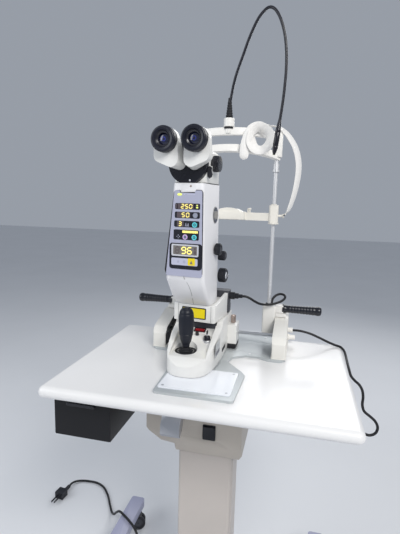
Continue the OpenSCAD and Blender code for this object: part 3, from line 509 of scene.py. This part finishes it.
SIGNAL_ROUTE = [top(*p) for p in (
    (56.2, 128, 156), (66, 128, 156), (78, 131, 151), (90.5, 137.6, 142), (106, 146.5, 133.6), (126, 157, 130.4),
    (146, 167, 133), (162.5, 176.6, 138.4), (172.6, 188, 145.4), (172, 200.4, 151.4), (161, 209, 153.6), (148, 207.6, 149.6),
    (138.8, 200.4, 141), (136, 196, 132.6), (136, 194, 124.2))]
CORD_STEPS = 5


def lead(name, path, diameter, body):
    return tube(name, path, diameter, CORD_BLACK, body, 12)


mains_path = curve_through(MAINS_ROUTE, CORD_STEPS)
mains = lead("mains_cord", mains_path, 8, "stand")
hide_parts("mains_lead")
mains_relief = lathe("mains_relief", [(0, 0), (9, 0), (9, 3), (7.2, 4.5), (6.4, 8), (7, 9), (7, 11), (6.1, 12.5),
                                      (6.6, 14), (6.6, 16), (5.7, 17.5), (6.1, 19), (6.1, 21), (5.2, 23.5), (4.6, 27), (0, 27)],
                     facing_out(Matrix(), (0, 71.5, 104), (0, 1, -0.1)), BLACK_RUBBER, "stand", 28)

data_path = curve_through(DATA_ROUTE, CORD_STEPS)
data = lead("data_cord", data_path, 7, "table")
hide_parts("data_lead")

# The signal lead crosses three slides, so it is made of three stretches.
signal_path = curve_through(SIGNAL_ROUTE, CORD_STEPS)
third = len(signal_path) // 3
stretches = (("signal_cord_riser", 0, third, "riser", "base"), ("signal_cord_base", third, 2 * third, "base", "carriage"),
             ("signal_cord_table", 2 * third, len(signal_path) - 1, "carriage", "table"))
for name, first, last, near, far in stretches:
    part_path = signal_path[first:last + 1]
    part = lead(name, part_path, 7, None)
    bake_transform(part)
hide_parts("signal_lead")


# ---------------------------------------------------------------- control panel

PANEL_V = -177
SEGMENTS = {"0": "abcdef", "1": "bc", "2": "abged", "3": "abgcd", "4": "fgbc", "5": "afgcd", "6": "afgedc",
            "7": "abc", "8": "abcdefg", "9": "abcdfg"}


def segment_outlines(digit, left, low, width, height, bar):
    """Outlines of one seven-segment digit: six-sided bars, leaning a little to the right."""
    middle = low + height / 2
    half, gap = bar / 2, bar * 0.16

    def level(y):
        a, b = left + half + gap, left + width - half - gap
        return [(a, y), (a + half, y + half), (b - half, y + half), (b, y), (b - half, y - half), (a + half, y - half)]

    def upright(x, y0, y1):
        a, b = y0 + gap, y1 - gap
        return [(x, a), (x + half, a + half), (x + half, b - half), (x, b), (x - half, b - half), (x - half, a + half)]

    x0, x1 = left + half, left + width - half
    y0, y1 = low + half, low + height - half
    bars = {"a": level(y1), "g": level(middle), "d": level(y0), "f": upright(x0, middle, y1),
            "b": upright(x1, middle, y1), "e": upright(x0, y0, middle), "c": upright(x1, y0, middle)}
    lean = 0.08
    return [[(x + lean * (y - middle), y) for x, y in bars[s]] for s in SEGMENTS[digit]]


def number(name, text, left, low, width, height, pitch, bar, look, lift=0.75):
    outlines = []
    for i, digit in enumerate(text):
        if digit in SEGMENTS:
            outlines += segment_outlines(digit, left + i * pitch, low, width, height, bar)
    slabs(name, outlines, lift - 0.5, lift, on_front(PANEL_V), look, "microscope")


front = on_front(PANEL_V)
RIM_OUTLINE = [(-51, 242), (-46, 238.5), (40, 240.5), (46, 246), (43.4, 440), (39, 446.4), (25, 446.6), (22.2, 441.2),
               (-14, 440), (-16, 445.6), (-28, 445.2), (-32.4, 440), (-54, 250)]
slabs("panel_gasket", [RIM_OUTLINE], -1.6, -0.25, front, BLACK_RUBBER, "microscope", 0.4)
WINDOWS = {"window_energy": (-28, 400, 36.3, 414.5), "window_pulse": (-28.6, 379, 36.3, 394.2),
           "window_burst": (-30, 357.6, 35.5, 373), "window_aim": (-31, 327, 35, 351.4)}
for name, (left, low, right, high) in WINDOWS.items():
    slabs(name, [rounded(left, low, right, high, 3)], -0.3, 0.35, front, WINDOW_BLACK, "microscope", 0.15)
slabs("lower_block", [rounded(-41, 255, 44.3, 318.5, 7)], -0.3, 0.9, front, WINDOW_BLACK, "microscope", 0.4)
slabs("display_glass", [rounded(-31, 290.6, 31.6, 312.4, 1.5)], 0.5, 1.2, front, GLASS_GREY, "microscope", 0.15)
frame_piece("display_bezel", rounded(-35.5, 287, 35.5, 316, 3.5), rounded(-31, 290.6, 31.6, 312.4, 1.8), 0.5, 1.9, 1.6,
            front, SILVER_PLASTIC, "microscope", 0.3)
slabs("key_strip", [rounded(-35.5, 264.4, 33.6, 282.2, 3)], 0.5, 1.5, front, PANEL_PALE, "microscope", 0.25)
slabs("yellow_key", [rounded(8.4, 265.6, 27, 283, 1.8)], 1.0, 2.0, front, YELLOW, "microscope", 0.25)
slabs("key_marks", [disc(-17, 273, 3.2, 20), disc(-1, 273.5, 3.6, 20)], 1.3, 1.62, front, PANEL, "microscope")
slabs("yellow_key_mark", [[(13.4, 269), (22, 269), (17.7, 278)]], 1.8, 2.2, front, BRONZE, "microscope")
slabs("status_light", [rounded(-22.5, 432.6, -11, 437.8, 2.2)], -0.2, 0.5, front, LED_LIME, "microscope", 0.2)
slabs("panel_marks", [rounded(-6.4, 434.2, -3, 437, 1), rounded(3, 434.9, 23, 436.5, 0.6)], -0.2, 0.18, front,
      PANEL_PALE, "microscope")
slabs("reading_fields", [rounded(-21, 400.8, 20, 413.6, 1.5), rounded(-23, 380, 11.6, 393.2, 1.5),
                         rounded(-22.6, 358.6, -5, 372, 1.5)], 0.1, 0.42, front, FIELD_BROWN, "microscope")
number("digits_energy", "250", -12.6, 401.8, 8.4, 11, 10.4, 1.8, LED_AMBER)
number("digits_pulse", "50", -10.6, 381.2, 8.6, 11.4, 11.4, 1.8, LED_AMBER)
number("digits_burst", "3", -18.6, 359.6, 8.4, 11.4, 10, 1.9, LED_AMBER)
number("digits_unlit", "8", -26, 292.6, 12, 17.6, 14, 2.6, FIELD_BROWN, 1.45)
number("digits_main", "96", -9.6, 292.4, 13, 18, 15.2, 2.8, LED_AMBER, 1.6)
slabs("unit_fields", [rounded(25.4, 402.2, 33, 413, 1), rounded(-26.4, 402.6, -23, 412.6, 1),
                      rounded(23.4, 293, 29, 301.4, 0.8), rounded(23.4, 303, 28.4, 309.4, 0.8)], 0.1, 1.35, front,
      FIELD_BROWN, "microscope")
slabs("unit_lights", [rounded(27, 403.4, 31.6, 406.6, 0.6), rounded(27.6, 408.6, 30.6, 411.4, 0.6)], 1.2, 1.5, front,
      LED_LIME, "microscope")
slabs("level_bar", [rounded(-7.6 + 4 * k, 343.8, -4.2 + 4 * k, 349.4, 0.5) for k in range(10)], 0.2, 0.6, front,
      LED_AMBER, "microscope")
PEAKS = [(0, 0), (2.2, 8.6), (4.4, 0), (3.4, 0), (2.2, 5.4), (1, 0)]
slabs("burst_marks", [[(x + dx, y + 359.6) for x, y in PEAKS] for dx in (-1.2, 4.6)], 0.2, 0.5, front,
      PANEL_PALE, "microscope")
slabs("aim_marks", [disc(-18.6 + 3.4 * x, 334.4 + 3.4 * y, 1, 12) for x, y in ((1, 0), (-1, 0), (0, 1), (0, -1))],
      0.2, 0.5, front, PANEL_PALE, "microscope")

KEY_TRAVEL = 1.1
BUTTONS = {"mode": (24, 364, RING_CYAN, "+"), "minus": (0, 334, RING_LILAC, "-"), "plus": (23.5, 334, RING_CYAN, "+")}
for name, (u, z, ring_look, mark) in BUTTONS.items():
    at = front @ Matrix.Translation(mm(u, z, KEY_TRAVEL))
    body = name + "_key"
    rim = lathe(name + "_ring", [(0, 0.6), (6.4, 0.6), (6.4, 1.1), (5.9, 1.7), (3.9, 1.7), (3.5, 1.2), (0, 1.2)],
                at, ring_look, body, 40)
    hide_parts(name + "_button")
    lathe(name + "_centre", [(0, 1), (3.4, 1), (3.4, 1.45), (2.9, 1.7), (0, 1.7)], at, RING_DARK, body, 32)
    strokes = [rounded(-2.2, -0.45, 2.2, 0.45, 0.3)]
    if mark == "+":
        strokes.append(rounded(-0.45, -2.2, 0.45, 2.2, 0.3))
    slabs(name + "_mark", strokes, 1.6, 1.85, at, ring_look, body)
grey = front @ Matrix.Translation(mm(24.6, 386.4, 0))
lathe("speaker_button", [(0, -0.2), (6.1, -0.2), (6.1, 0.9), (5.5, 1.4), (4.7, 1.4), (4.4, 0.9), (0, 0.9)],
      grey, BUTTON, "microscope", 40)

# ---------------------------------------------------------------- tower

slabs("tower_tab", [[(-14, 441.2), (-14, 458), (-12, 460.6), (22, 460.6), (24, 458), (24, 444), (22, 441.2)]], -2.2, -1.25,
      front, TOWER_WHITE, "microscope", 0.4)
lathe("tab_screw", [(0, -1.6), (2.6, -1.6), (2.6, -0.9), (2, -0.6), (0.9, -0.6), (0.8, -1.0), (0, -1.0)],
      front @ Matrix.Translation(mm(11, 455, 0)), BRONZE, "microscope", 24)
SEAM = [(-3, -176.9, 238), (-1, -175.9, 231), (3.6, -172.8, 223.6), (7.2, -166.6, 213), (9.4, -158.6, 199.6),
        (9.6, -149.6, 185), (7.6, -138, 172.4), (4, -125.6, 161.6), (2.6, -118.4, 155)]
tube("tower_seam", [arm(u, v + 0.55, z) for u, v, z in SEAM], 1.3, SEAM_GREY, "microscope", 8)
side = on_right(45.4)
oval = [(-90.8 + 17 * math.cos(a), 386.6 + 20 * math.sin(a)) for a in [2 * math.pi * k / 40 for k in range(40)]]
slabs("side_port_rim", [[(x + (x + 90.8) * 0.09, y + (y - 386.6) * 0.07) for x, y in oval]], -4.5, 1.3, side,
      SEAM_GREY, "microscope", 0.5)
slabs("side_port", [oval], -1, 2.4, side, LENS, "microscope", 1.2)


# ---------------------------------------------------------------- head and eyepieces

EYE_PROFILE = [(0, 8.0), (13, 8.0), (13.6, 3), (17.5, 1.6), (19.6, -2.6), (23.4, -3.4), (26.2, -3.9), (28.4, -2.8),
               (29.3, -0.4), (29.3, 1.2), (27.9, 2.2), (27.9, 3.6), (29.4, 4.6), (29.4, 6.4), (28.0, 7.3), (28.0, 8.7),
               (29.4, 9.7), (29.4, 11.5), (28.2, 12.4), (28.2, 13.6), (28.9, 14.3), (28.9, 16.2), (27.4, 17), (0, 17)]
for s, side_name in ((-1, "left"), (1, "right")):
    at = facing_out(TO_ARM, (s * 37, -232, 556.5), (0, 1, 0))
    body = side_name + "_eye"
    cup = lathe(side_name + "_eyecup", EYE_PROFILE, at, EYECUP, body, 72, 50)
    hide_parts(side_name + "_eyepiece")
    lathe(side_name + "_eye_ring", [(13.2, 4), (14.4, 3.4), (16.9, 2.2), (17.4, 1.2), (16.4, 0.9), (13.6, 2.6)], at,
          BLACK_METAL, body, 56)
    lathe(side_name + "_eye_lens", [(0, 4.6), (5, 4.9), (10, 6), (13.4, 7.4), (13.4, 9), (0, 9)], at, LENS, body, 56, 60)
    lathe(side_name + "_eye_inner_lens", [(3.4, 4.35), (5.4, 4.6), (5.2, 4.9), (3.3, 4.7)], at, COATING, body, 40)

tube("head_seam", curve_through([arm(*p) for p in (
    (-36, -159.6, 463.2), (0, -160.2, 463.2), (36, -159.8, 463.2), (42, -154, 463.2), (43, -106, 463.2), (42.6, -60, 463.2),
    (36, -53, 463.2))], 4), 1.5, BLACK_RUBBER, "microscope", 8)
lathe("disc_screw", [(0, 0), (2.3, 0), (2.3, 0.9), (1.6, 1.3), (0.6, 1.3), (0.5, 0.9), (0, 0.9)],
      facing_out(TO_ARM, (7.6, -174, 468.4), (0, -1, 0)), SILVER_PLASTIC, "microscope", 24)
lathe("drum_grip", [(0, 17.2), (16.4, 17.2), (18.4, 16.4), (19, 15), (19, 2), (18, 0.8), (0, 0.8)],
      facing_out(TO_ARM, (42.8, -110, 511.5), (1, 0, 0)), BLACK_METAL, "magnifier", 64)
ribs = []
for k in range(36):
    a = 2 * math.pi * k / 36
    x, y = 18.9 * math.cos(a), 18.9 * math.sin(a)
    ribs.append([(x + 0.9 * math.cos(a + t), y + 0.9 * math.sin(a + t)) for t in (0, 1.57, 3.14, 4.71)])
drum_ribs = slabs("drum_ribs", ribs, 3, 14.2, facing_out(TO_ARM, (42.8, -110, 511.5), (1, 0, 0)), BLACK_METAL, "magnifier")


def knob(name, at, radius, length, body, node, look, teeth, cap=None):
    """A ribbed knob that points right, with a recessed cap; it stands for its CAD node."""
    place = facing_out(TO_ARM, at, (1, 0, 0))
    core = radius - 0.9
    body_piece = lathe(name, [(0, 0), (core, 0), (core, length - 2.2), (core - 1.4, length - 0.6), (core - 3, length),
                              (core * 0.62, length), (core * 0.58, length - 1.3), (0, length - 1.3)],
                       place, look, body, 56)
    outlines = []
    for k in range(teeth):
        a = 2 * math.pi * k / teeth
        tooth = [(core - 0.8, -1.0), (radius - 0.4, -0.9), (radius, -0.3), (radius, 0.3), (radius - 0.4, 0.9), (core - 0.8, 1.0)]
        outlines.append([(x * math.cos(a) - y * math.sin(a), x * math.sin(a) + y * math.cos(a)) for x, y in tooth])
    slabs(name + "_ribs", outlines, 0.9, length - 2.6, place, look, body)
    if cap:
        lathe(name + "_cap", [(0, length - 1.6), (core * 0.5, length - 1.6), (core * 0.5, length - 0.7),
                              (core * 0.42, length - 0.3), (0, length - 0.3)], place, cap, body, 40)
    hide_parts(node)
    return place


knob("spot_dial_knob", (49.4, -88, 299), 15.5, 14, "spot_dial", "spot_knob", BLACK_PLASTIC, 26, DARK_GREY)
knob("filter_dial_knob", (37, -24, 275), 13, 20, "filter_dial", "filter_knob", BLACK_PLASTIC, 22, DARK_GREY)
slit_place = knob("slit_dial_knob", (41, -24, 221), 19.5, 20, "slit_dial", "slit_knob", BLACK_PLASTIC, 30, SILVER_PLASTIC)
lathe("slit_dial_stud", [(0, 18), (4, 18), (4, 25), (3.2, 26), (0, 26)], slit_place, STEEL_X, "slit_dial", 24)
# ---------------------------------------------------------------- base and joystick

BASE_X, STICK = -42, (-55, -66)
JOYSTICK_PROFILE = [(0, 62), (8.6, 62), (9.4, 63), (9.6, 67), (10.8, 70.5), (13.2, 75.5), (14.8, 82), (15.8, 89), (17.0, 92.6),
                    (17.3, 94.2), (16.7, 95.2), (17.4, 96.4), (18.4, 106), (19.2, 118), (19.4, 130), (19, 138), (18.2, 144.5),
                    (17.4, 146.2), (17.6, 147.6), (16.4, 152), (13.6, 156.6), (10.4, 159.2), (9.2, 159.4), (8.8, 158.2),
                    (7.4, 158.0), (6.6, 159.6), (5.2, 161), (0, 161.6)]
grip = lathe("joystick_grip", JOYSTICK_PROFILE, TO_TOP @ Matrix.Translation(mm(*STICK, 0)), JOY_BLACK, "stick_grip", 72, 24)
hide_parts("joystick")
boot = lathe("joystick_boot", [(0, 47), (12.6, 47), (12.6, 49.5), (14.8, 50.6), (16.4, 52.2), (15.4, 53.6), (13.2, 54), (13.4, 55.6),
                               (12.2, 57), (10.8, 57), (10.8, 58.6), (9.4, 60), (0, 60)],
             TO_TOP @ Matrix.Translation(mm(*STICK, 0)), BLACK_RUBBER, "stick", 56)
lathe("bowl_seal", [(20.6, 48.6), (26, 48.6), (27.4, 49.8), (27.2, 51), (22.5, 51.2), (20.6, 50)],
      TO_TOP @ Matrix.Translation(mm(*STICK, 0)), BLACK_RUBBER, "base", 64)

SWITCH_AT = Matrix.Rotation(math.radians(19), 4, "X")
switch_place = TO_TOP @ Matrix.Translation(mm(-36, 4, 83)) @ SWITCH_AT
frame_piece("switch_bezel", rounded(-15.6, -8.6, 15.6, 9.6, 1.6), rounded(-12.9, -7.3, 12.9, 7.3, 0.6), 0.6, 3.4, 3.0,
            switch_place, BLACK_PLASTIC, "base", 0.4)
lathe("deck_peg", [(0, -4), (5.6, -4), (5.6, 1.4), (5, 3.2), (4.6, 11), (3.8, 12), (0, 12)],
      facing_out(TO_TOP, (-38.6, -14, 74), (0, -0.42, 1)), BLACK_METAL, "base", 32)
key_place = TO_TOP @ Matrix.Translation(mm(-9, -30, 0))
lathe("key_collar", [(0, 60), (11, 60), (11, 70.4), (10.2, 71.4), (9.4, 71.4), (9.2, 70.6), (0, 70.6)], key_place, STEEL, "base", 40)
key_body = lathe("key_barrel", [(0, 66), (5, 66), (5, 71.6), (8.3, 72.2), (8.4, 79.8), (7.6, 81.2), (6.2, 81.6), (0, 81.6)], key_place,
                 BLACK_METAL, "key", 40)
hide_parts("key_switch")
blade_axes = key_place @ Matrix.Translation(mm(0, 0, 81)) @ Matrix(((0, 0, 1, 0), (1, 0, 0, 0), (0, 1, 0, 0), (0, 0, 0, 1)))
slabs("key_blade", [rounded(-2.6, -1, 2.6, 7, 0.4)], -0.9, 0.9, blade_axes, STEEL, "key", 0.2)
slabs("key_bow", [rounded(-6, 5.6, 6, 15, 4)], -1.4, 1.4, blade_axes, BLACK_PLASTIC, "key", 0.6)
lock_place = TO_TOP @ Matrix.Translation(mm(32, 134, 0))
lock = lathe("lock_knob", [(0, 59), (4, 59), (4, 75.4), (6.6, 75.8), (7.3, 77), (7.3, 79), (6.7, 80), (6.7, 92), (7.4, 93), (7.4, 96.2),
                           (6.4, 97.8), (0, 97.8)], lock_place, BRONZE, "lock", 40)
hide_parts("lock_screw")
slabs("lock_ribs", [[(6.6 * math.cos(a + t) * s, 6.6 * math.sin(a + t) * s) for t, s in ((-0.09, 0.97), (-0.05, 1.08), (0.05, 1.08), (0.09, 0.97))]
                    for a in [2 * math.pi * k / 16 for k in range(16)]], 81, 91, lock_place, BRONZE, "lock")
slabs("bracket_foot", [rounded(20, 102, 46, 160, 3)], 9, 20.5, TO_TOP, BLACK_RUBBER, "base", 0.6)


slabs("flank_plate", [rounded(-70, 40, -18, 76, 3)], 0, 0.7,
      TO_TOP @ Matrix.Translation(mm(21.6, 0, 0)) @ SIDE_AXES, SILVER, "base", 0.2)
slabs("flank_plate_band", [rounded(-67, 43, -21, 52, 1.5)], 0.3, 0.95,
      TO_TOP @ Matrix.Translation(mm(21.6, 0, 0)) @ SIDE_AXES, STRIP_GREY, "base", 0.1)
slabs("flank_vent", [rounded(18, 24, 62, 34, 4)], -1.2, 0.5,
      TO_TOP @ Matrix.Translation(mm(22, 0, 0)) @ SIDE_AXES, BLACK_RUBBER, "base", 0.2)
label_front = on_front(-116.2)
slabs("label_frame", [rounded(-30, 116, 37, 146, 2.5)], -0.2, 0.9, label_front, BLACK_PLASTIC, "microscope", 0.3)
slabs("yellow_plate", [rounded(-27.2, 118.6, 34.2, 143.2, 1)], 0.5, 1.5, label_front, YELLOW, "microscope", 0.2)
slabs("label_seams", [[(-41, 109), (-40.2, 109), (-40.2, 152.4), (-41, 152.4)], [(50, 109), (50.8, 109), (50.8, 152.4), (50, 152.4)]],
      -0.3, 0.35, label_front, SEAM_GREY, "microscope")

# ---------------------------------------------------------------- rail covers

for s, side_name in ((-1, "left"), (1, "right")):
    # The black sheet on the inner face of each rail cover is painted shade: it darkens the gap beside the base, up to a
    # sloping wedge.
    gap_shade_axes = TO_TOP @ Matrix.Translation(mm(s * 151.5, 0, 0)) @ SIDE_AXES
    slabs(side_name + "_cover_gap_shade", [
        [(62, 8), (62, 41), (168, 41), (168, 8)],
        [(62, 41), (62, 44.4), (72, 56.8), (72, 41)],
        [(72, 54), (72, 56.8), (74.6, 60), (168, 84.6), (168, 54)],
        [(160, 41), (160, 54), (168, 54), (168, 41)]], -0.8, 0.8, gap_shade_axes, BLACK_RUBBER, "table")
    bottom_edge = TO_TOP @ Matrix.Translation(mm(0, 0, 6))
    slabs(side_name + "_cover_skirt", [rounded(min(s * 147.6, s * 188.6), 56.4, max(s * 147.6, s * 188.6), 251, 5)],
          0, 3.2, bottom_edge, COVER_WHITE, "table", 0.6)

# ---------------------------------------------------------------- headrest

collar = TO_TOP @ Matrix.Translation(mm(0, 129, 0))
lathe("collar_ring", [(11.2, 616), (13, 616), (13.3, 616.6), (13.3, 620.6), (13, 621.2), (11.2, 621.2)], collar, BLACK_RUBBER,
      "fixation", 48)
lathe("collar_white", [(0, 626.4), (11.2, 626.4), (11.2, 621.2), (13.8, 621.2), (14.4, 622), (14.4, 627.4), (14, 627.9), (14, 628.5),
                       (14.4, 629), (14.4, 635.4), (14, 635.9), (14, 636.5), (14.4, 637), (14.4, 642.2), (13.2, 643.5), (0, 643.5)],
      collar, FRAME_WHITE, "fixation", 56)
relief_profile = [(0, 643), (9.6, 643), (9.6, 646)]
for k in range(6):
    z = 647.5 + 6.6 * k
    r = 9.4 - 0.7 * k
    relief_profile += [(r - 1, z), (r, z + 0.8), (r - 0.1, z + 4.4), (r - 1.1, z + 5)]
relief_profile += [(4.6, 690), (4.2, 696), (0, 696)]
lathe("gooseneck_relief", relief_profile, TO_TOP @ Matrix.Translation(mm(0, 129.6, 0)) , BLACK_RUBBER, "fixation", 40)
FIXATION_ROUTE = [top(*p) for p in (
    (0, 130, 660), (3, 127, 694), (14, 120, 744), (35, 110, 799), (50, 103, 836), (68, 95, 870), (84, 89, 888), (99, 85, 895),
    (114, 81, 886), (128, 78, 862), (139, 76, 828), (145, 75, 790), (147, 75, 750), (146, 75, 712), (143, 75, 668), (138, 75, 624))]
neck_path = curve_through(FIXATION_ROUTE, 14)
neck_sizes = [7.5 if k % 2 else 7.0 for k in range(len(neck_path))]
neck = tube("gooseneck", neck_path, neck_sizes, GOOSENECK, "fixation", 16)
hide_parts("fixation_arm")
lamp_place = facing_out(TO_TOP, (138, 75, 624), (-0.1219, 0, -0.9925))
lamp = lathe("fixation_lamp_body", [(0, -4), (4, -4), (4.4, 0), (6.4, 20), (6.9, 22), (7, 26), (6.5, 27), (6.5, 28.2), (7, 29.2), (7, 60),
                                    (6.6, 61), (6.6, 62.4), (7, 63.4), (6.9, 66), (4.8, 77.5), (4.2, 78), (3.6, 78), (3.5, 83), (2.6, 83),
                                    (2.4, 81.5), (0, 81.5)], lamp_place, BLACK_METAL, "fixation", 48)
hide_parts("fixation_lamp")
lathe("fixation_lamp_tip", [(0, 81), (2.4, 81), (2.4, 82), (1.6, 82.8), (0, 83)], lamp_place, LED_LIME, "fixation", 24)

for s, side_name in ((-1, "left"), (1, "right")):
    pole = TO_TOP @ Matrix.Translation(mm(s * 128, 188, 0))
    lathe(side_name + "_pole_ring", [(5.8, 506.8), (8.9, 506.8), (9.3, 507.4), (9.3, 512.6), (8.9, 513.2), (5.8, 513.2)], pole,
          BLACK_RUBBER, "table", 44)
    lathe(side_name + "_pole_foot", [(6, 124), (9.6, 124), (9.6, 127.5), (8.6, 128.6), (6, 128.6)], pole, BLACK_RUBBER, "table", 44)
    grip_place = facing_out(TO_TOP, (s * 171, 188, 115), (s, 0, 0))
    profile = [(0, -0.2), (12, -0.2), (12.4, 1.4), (11.6, 4), (10.9, 8)]
    for k in range(9):
        h = 14 + 8.4 * k
        r = 10.6 + 1.6 * (k / 8) ** 2
        profile += [(r, h), (r + 0.5, h + 1.2), (r + 0.5, h + 5.4), (r, h + 6.6)]
    profile += [(12.6, 92), (13.5, 97), (13.3, 101), (12.2, 104.6), (9, 107), (4, 107.9), (0, 108)]
    grip_piece = lathe(side_name + "_hand_grip", profile, grip_place, GRIP, "table", 56, 60)
    if s < 0:
        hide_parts("hand_grips")
    lathe(side_name + "_grip_root", [(0, -3), (14, -3), (14, -0.3), (12.8, 0.4), (0, 0.4)], grip_place, BLACK_METAL, "table", 44)
    for z in (366, 410):
        lathe(f"{side_name}_clamp_ring_{z}", [(6.2, z), (8.4, z), (8.4, z + 2), (6.2, z + 2)],
              TO_TOP @ Matrix.Translation(mm(s * 128, 188, 5.4 if z > 400 else -6)), CHIN, "chin", 40)

for x in (60, -60):
    lathe(f"chin_pin_{'right' if x > 0 else 'left'}", [(0, 390), (2.2, 390), (2.2, 400), (4.2, 401.4), (4.6, 403.4), (3.6, 405), (0, 405.4)],
          TO_TOP @ Matrix.Translation(mm(x, 184, 0)), CHIN, "chin", 28)

# Head belt: the outer arc from the chin clamp, and the curl with the free tail over the upper bar
BELT_ROUTE = [top(*p) for p in (
    (160, 187, 391), (168, 187, 401), (178, 188, 430), (186, 189, 468), (190, 190, 511), (187, 190, 544), (177, 189, 575),
    (160, 187, 602), (146, 185, 617), (133, 183, 626), (118, 176, 628), (104, 162, 627.5))]
belt_path = curve_through(BELT_ROUTE, 6)
belt_steps = len(belt_path) - 1
belt_facing = []
for k in range(belt_steps + 1):
    ahead = (belt_path[min(k + 1, belt_steps)] - belt_path[max(k - 1, 0)]).normalized()
    lean = 0.62 * math.sin(math.pi * min(1, max(0, (k / belt_steps - 0.02) / 0.9))) ** 0.5
    outward = Vector((ahead.z, 0, -ahead.x))
    belt_facing.append((Vector((0, 1, 0)) * math.sqrt(1 - lean * lean) + outward * lean).normalized())
belt_widths = [8 + 17 * min(1, k / 7) for k in range(belt_steps + 1)]
belt_out = ribbon("belt_outer", belt_path, belt_widths, belt_facing, BELT, "table", 2)
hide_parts("head_belt")
buckle = TO_TOP @ Matrix.Translation(mm(158, 187, 388)) @ Matrix.Rotation(math.radians(-38), 4, "Y")
slabs("belt_buckle", [rounded(-6, -12.5, 6, -9.5, 1.2), rounded(-6, 9.5, 6, 12.5, 1.2), rounded(-6, -12.5, -3.6, 12.5, 1.1),
                      rounded(3.6, -12.5, 6, 12.5, 1.1)], -1.6, 1.6, buckle, CHIN, "table", 0.5)
lathe("buckle_pin", [(0, -13.6), (1.9, -13.6), (2.2, -13.2), (2.2, 13.2), (1.9, 13.6), (0, 13.6)],
      buckle @ Matrix.Rotation(math.radians(90), 4, "X"), BLACK_METAL, "table", 24)
CURL_ROUTE = [top(*p) for p in (
    (104, 160, 627.5), (92, 146, 628), (78, 136, 625), (66, 130, 613), (62, 124, 595), (65, 119, 575), (77, 116, 561),
    (93, 116, 559), (107, 118, 569), (114, 122, 587), (109, 126, 604), (95, 128, 616), (79, 126, 620), (63, 122, 612),
    (54, 119, 596), (48, 117, 576), (46, 116, 558), (46, 116, 534))]
curl_path = curve_through(CURL_ROUTE, 6)
count = len(curl_path)
facing, widths = [], []
ring_centre = top(88, 140, 589)
for k, p in enumerate(curl_path):
    t = k / (count - 1)
    out = (p - ring_centre)
    out.y = 0
    out = out.normalized()
    ring = max(0.0, min(1.0, (t - 0.12) / 0.15)) * max(0.0, min(1.0, (0.86 - t) / 0.12))
    tail = max(0.0, min(1.0, (t - 0.72) / 0.1))
    facing.append((Vector((0, 1, 0)) * (1 - 0.5 * ring) * (1 - tail) - out * 0.82 * ring * (1 - tail) + Vector((1, 0, 0.05)) * tail).normalized())
    end = (1 - t) * length_of(curl_path) * 1000
    widths.append((25 + 4 * ring) * math.sqrt(max(0.02, 1 - max(0.0, 1 - end / 12.5) ** 2)))
ribbon("belt_curl", curl_path, widths, facing, BELT, "table", 2)


# ---------------------------------------------------------------- table, column and frame details

def bolts(name, spots, head, height, matrix, look, body):
    """Socket-head bolts in one piece, at (x, y, z) spots of a matrix whose Z axis points out."""
    verts, faces = [], []
    for x, y, z in spots:
        for outline, low, high in ((disc(x, y, head / 2, 24), z - 0.6, z + height), (disc(x, y, head / 4.4, 6), z + height - 0.3, z + height + 0.35)):
            v, f = slab_mesh([outline], low, high, matrix)
            faces += [tuple(i + len(verts) for i in face) for face in f]
            verts += v
    return bevelled(new_piece(name, verts, faces, look, body), 0.4, 2)


bolts("foot_bolts", [(x, y, 91) for x in (-88, 88) for y in (-66, 66)], 13, 5, Matrix(), STEEL, "stand")
bolts("slide_screws", [(-3 + x, -130 + y, 8) for x in (-73, 73) for y in (-52, 52)], 6.4, 0.5, TO_TOP, ALU, "table")
bolts("plate_screws", [(66, -71, 6), (-72, -60, 6), (90, 78, 6), (-90, 78, 6), (120, 232, 6), (-120, 232, 6)], 8, 1.2, TO_TOP, STEEL, "table")
down = Matrix.Translation((0, 0, TABLE)) @ Matrix.Rotation(math.pi, 4, "X")
bolts("table_bolts", [(x, y, 28) for x in (-125, 125) for y in (-90, 90)], 14, 4, down, STEEL, "table")
for k, (sx, sy, turn) in enumerate(((-1, -1, 15), (1, -1, 165), (-1, 1, 20), (1, 1, 160)), start=1):
    caster = (Matrix.Translation(mm(sx * 316, sy * 225, 25)) @ Matrix.Rotation(math.radians(turn), 4, "Z")
              @ Matrix.Translation(mm(18, 0, 0)) @ Matrix.Rotation(math.radians(90), 4, "X"))
    for s in (-1, 1):
        lathe(f"wheel_cap_{k}_{'inner' if s < 0 else 'outer'}",
              [(0, s * 10.4), (15.6, s * 10.4), (16.6, s * 10.9), (16.6, s * 11.3), (12, s * 12.2), (6, s * 13.6), (4.6, s * 14), (0, s * 14)],
              caster, DARK_GREY, f"wheel_{k}", 40)
front_face = TO_TOP @ Matrix.Translation(mm(0, -208, 0)) @ PANEL_AXES
slabs("drawer_pull", [rounded(-300, -58, -228, -50, 3.5)], -0.5, 9, front_face, BLACK_METAL, "drawer_tray", 1.4)
slabs("drawer_front_plate", [rounded(-335, -137.4, -193, -43.6, 3)], -0.4, 1.6, front_face, DRAWER_BLACK, "drawer_tray", 0.8)
housing_face = TO_TOP @ Matrix.Translation(mm(0, -100, 0)) @ PANEL_AXES
frame_piece("rocker_bezel", rounded(2, -159.5, 34, -120.5, 2.5), rounded(4.4, -157, 31.6, -123, 1.2), -0.6, 2.2, 1.8,
            housing_face, BLACK_PLASTIC, "table", 0.4)
slabs("lever_slot_trim", [rounded(-99.5, -92, -33.5, -88.6, 1.5)], -0.6, 1.4, housing_face, BEIGE, "table", 0.5)
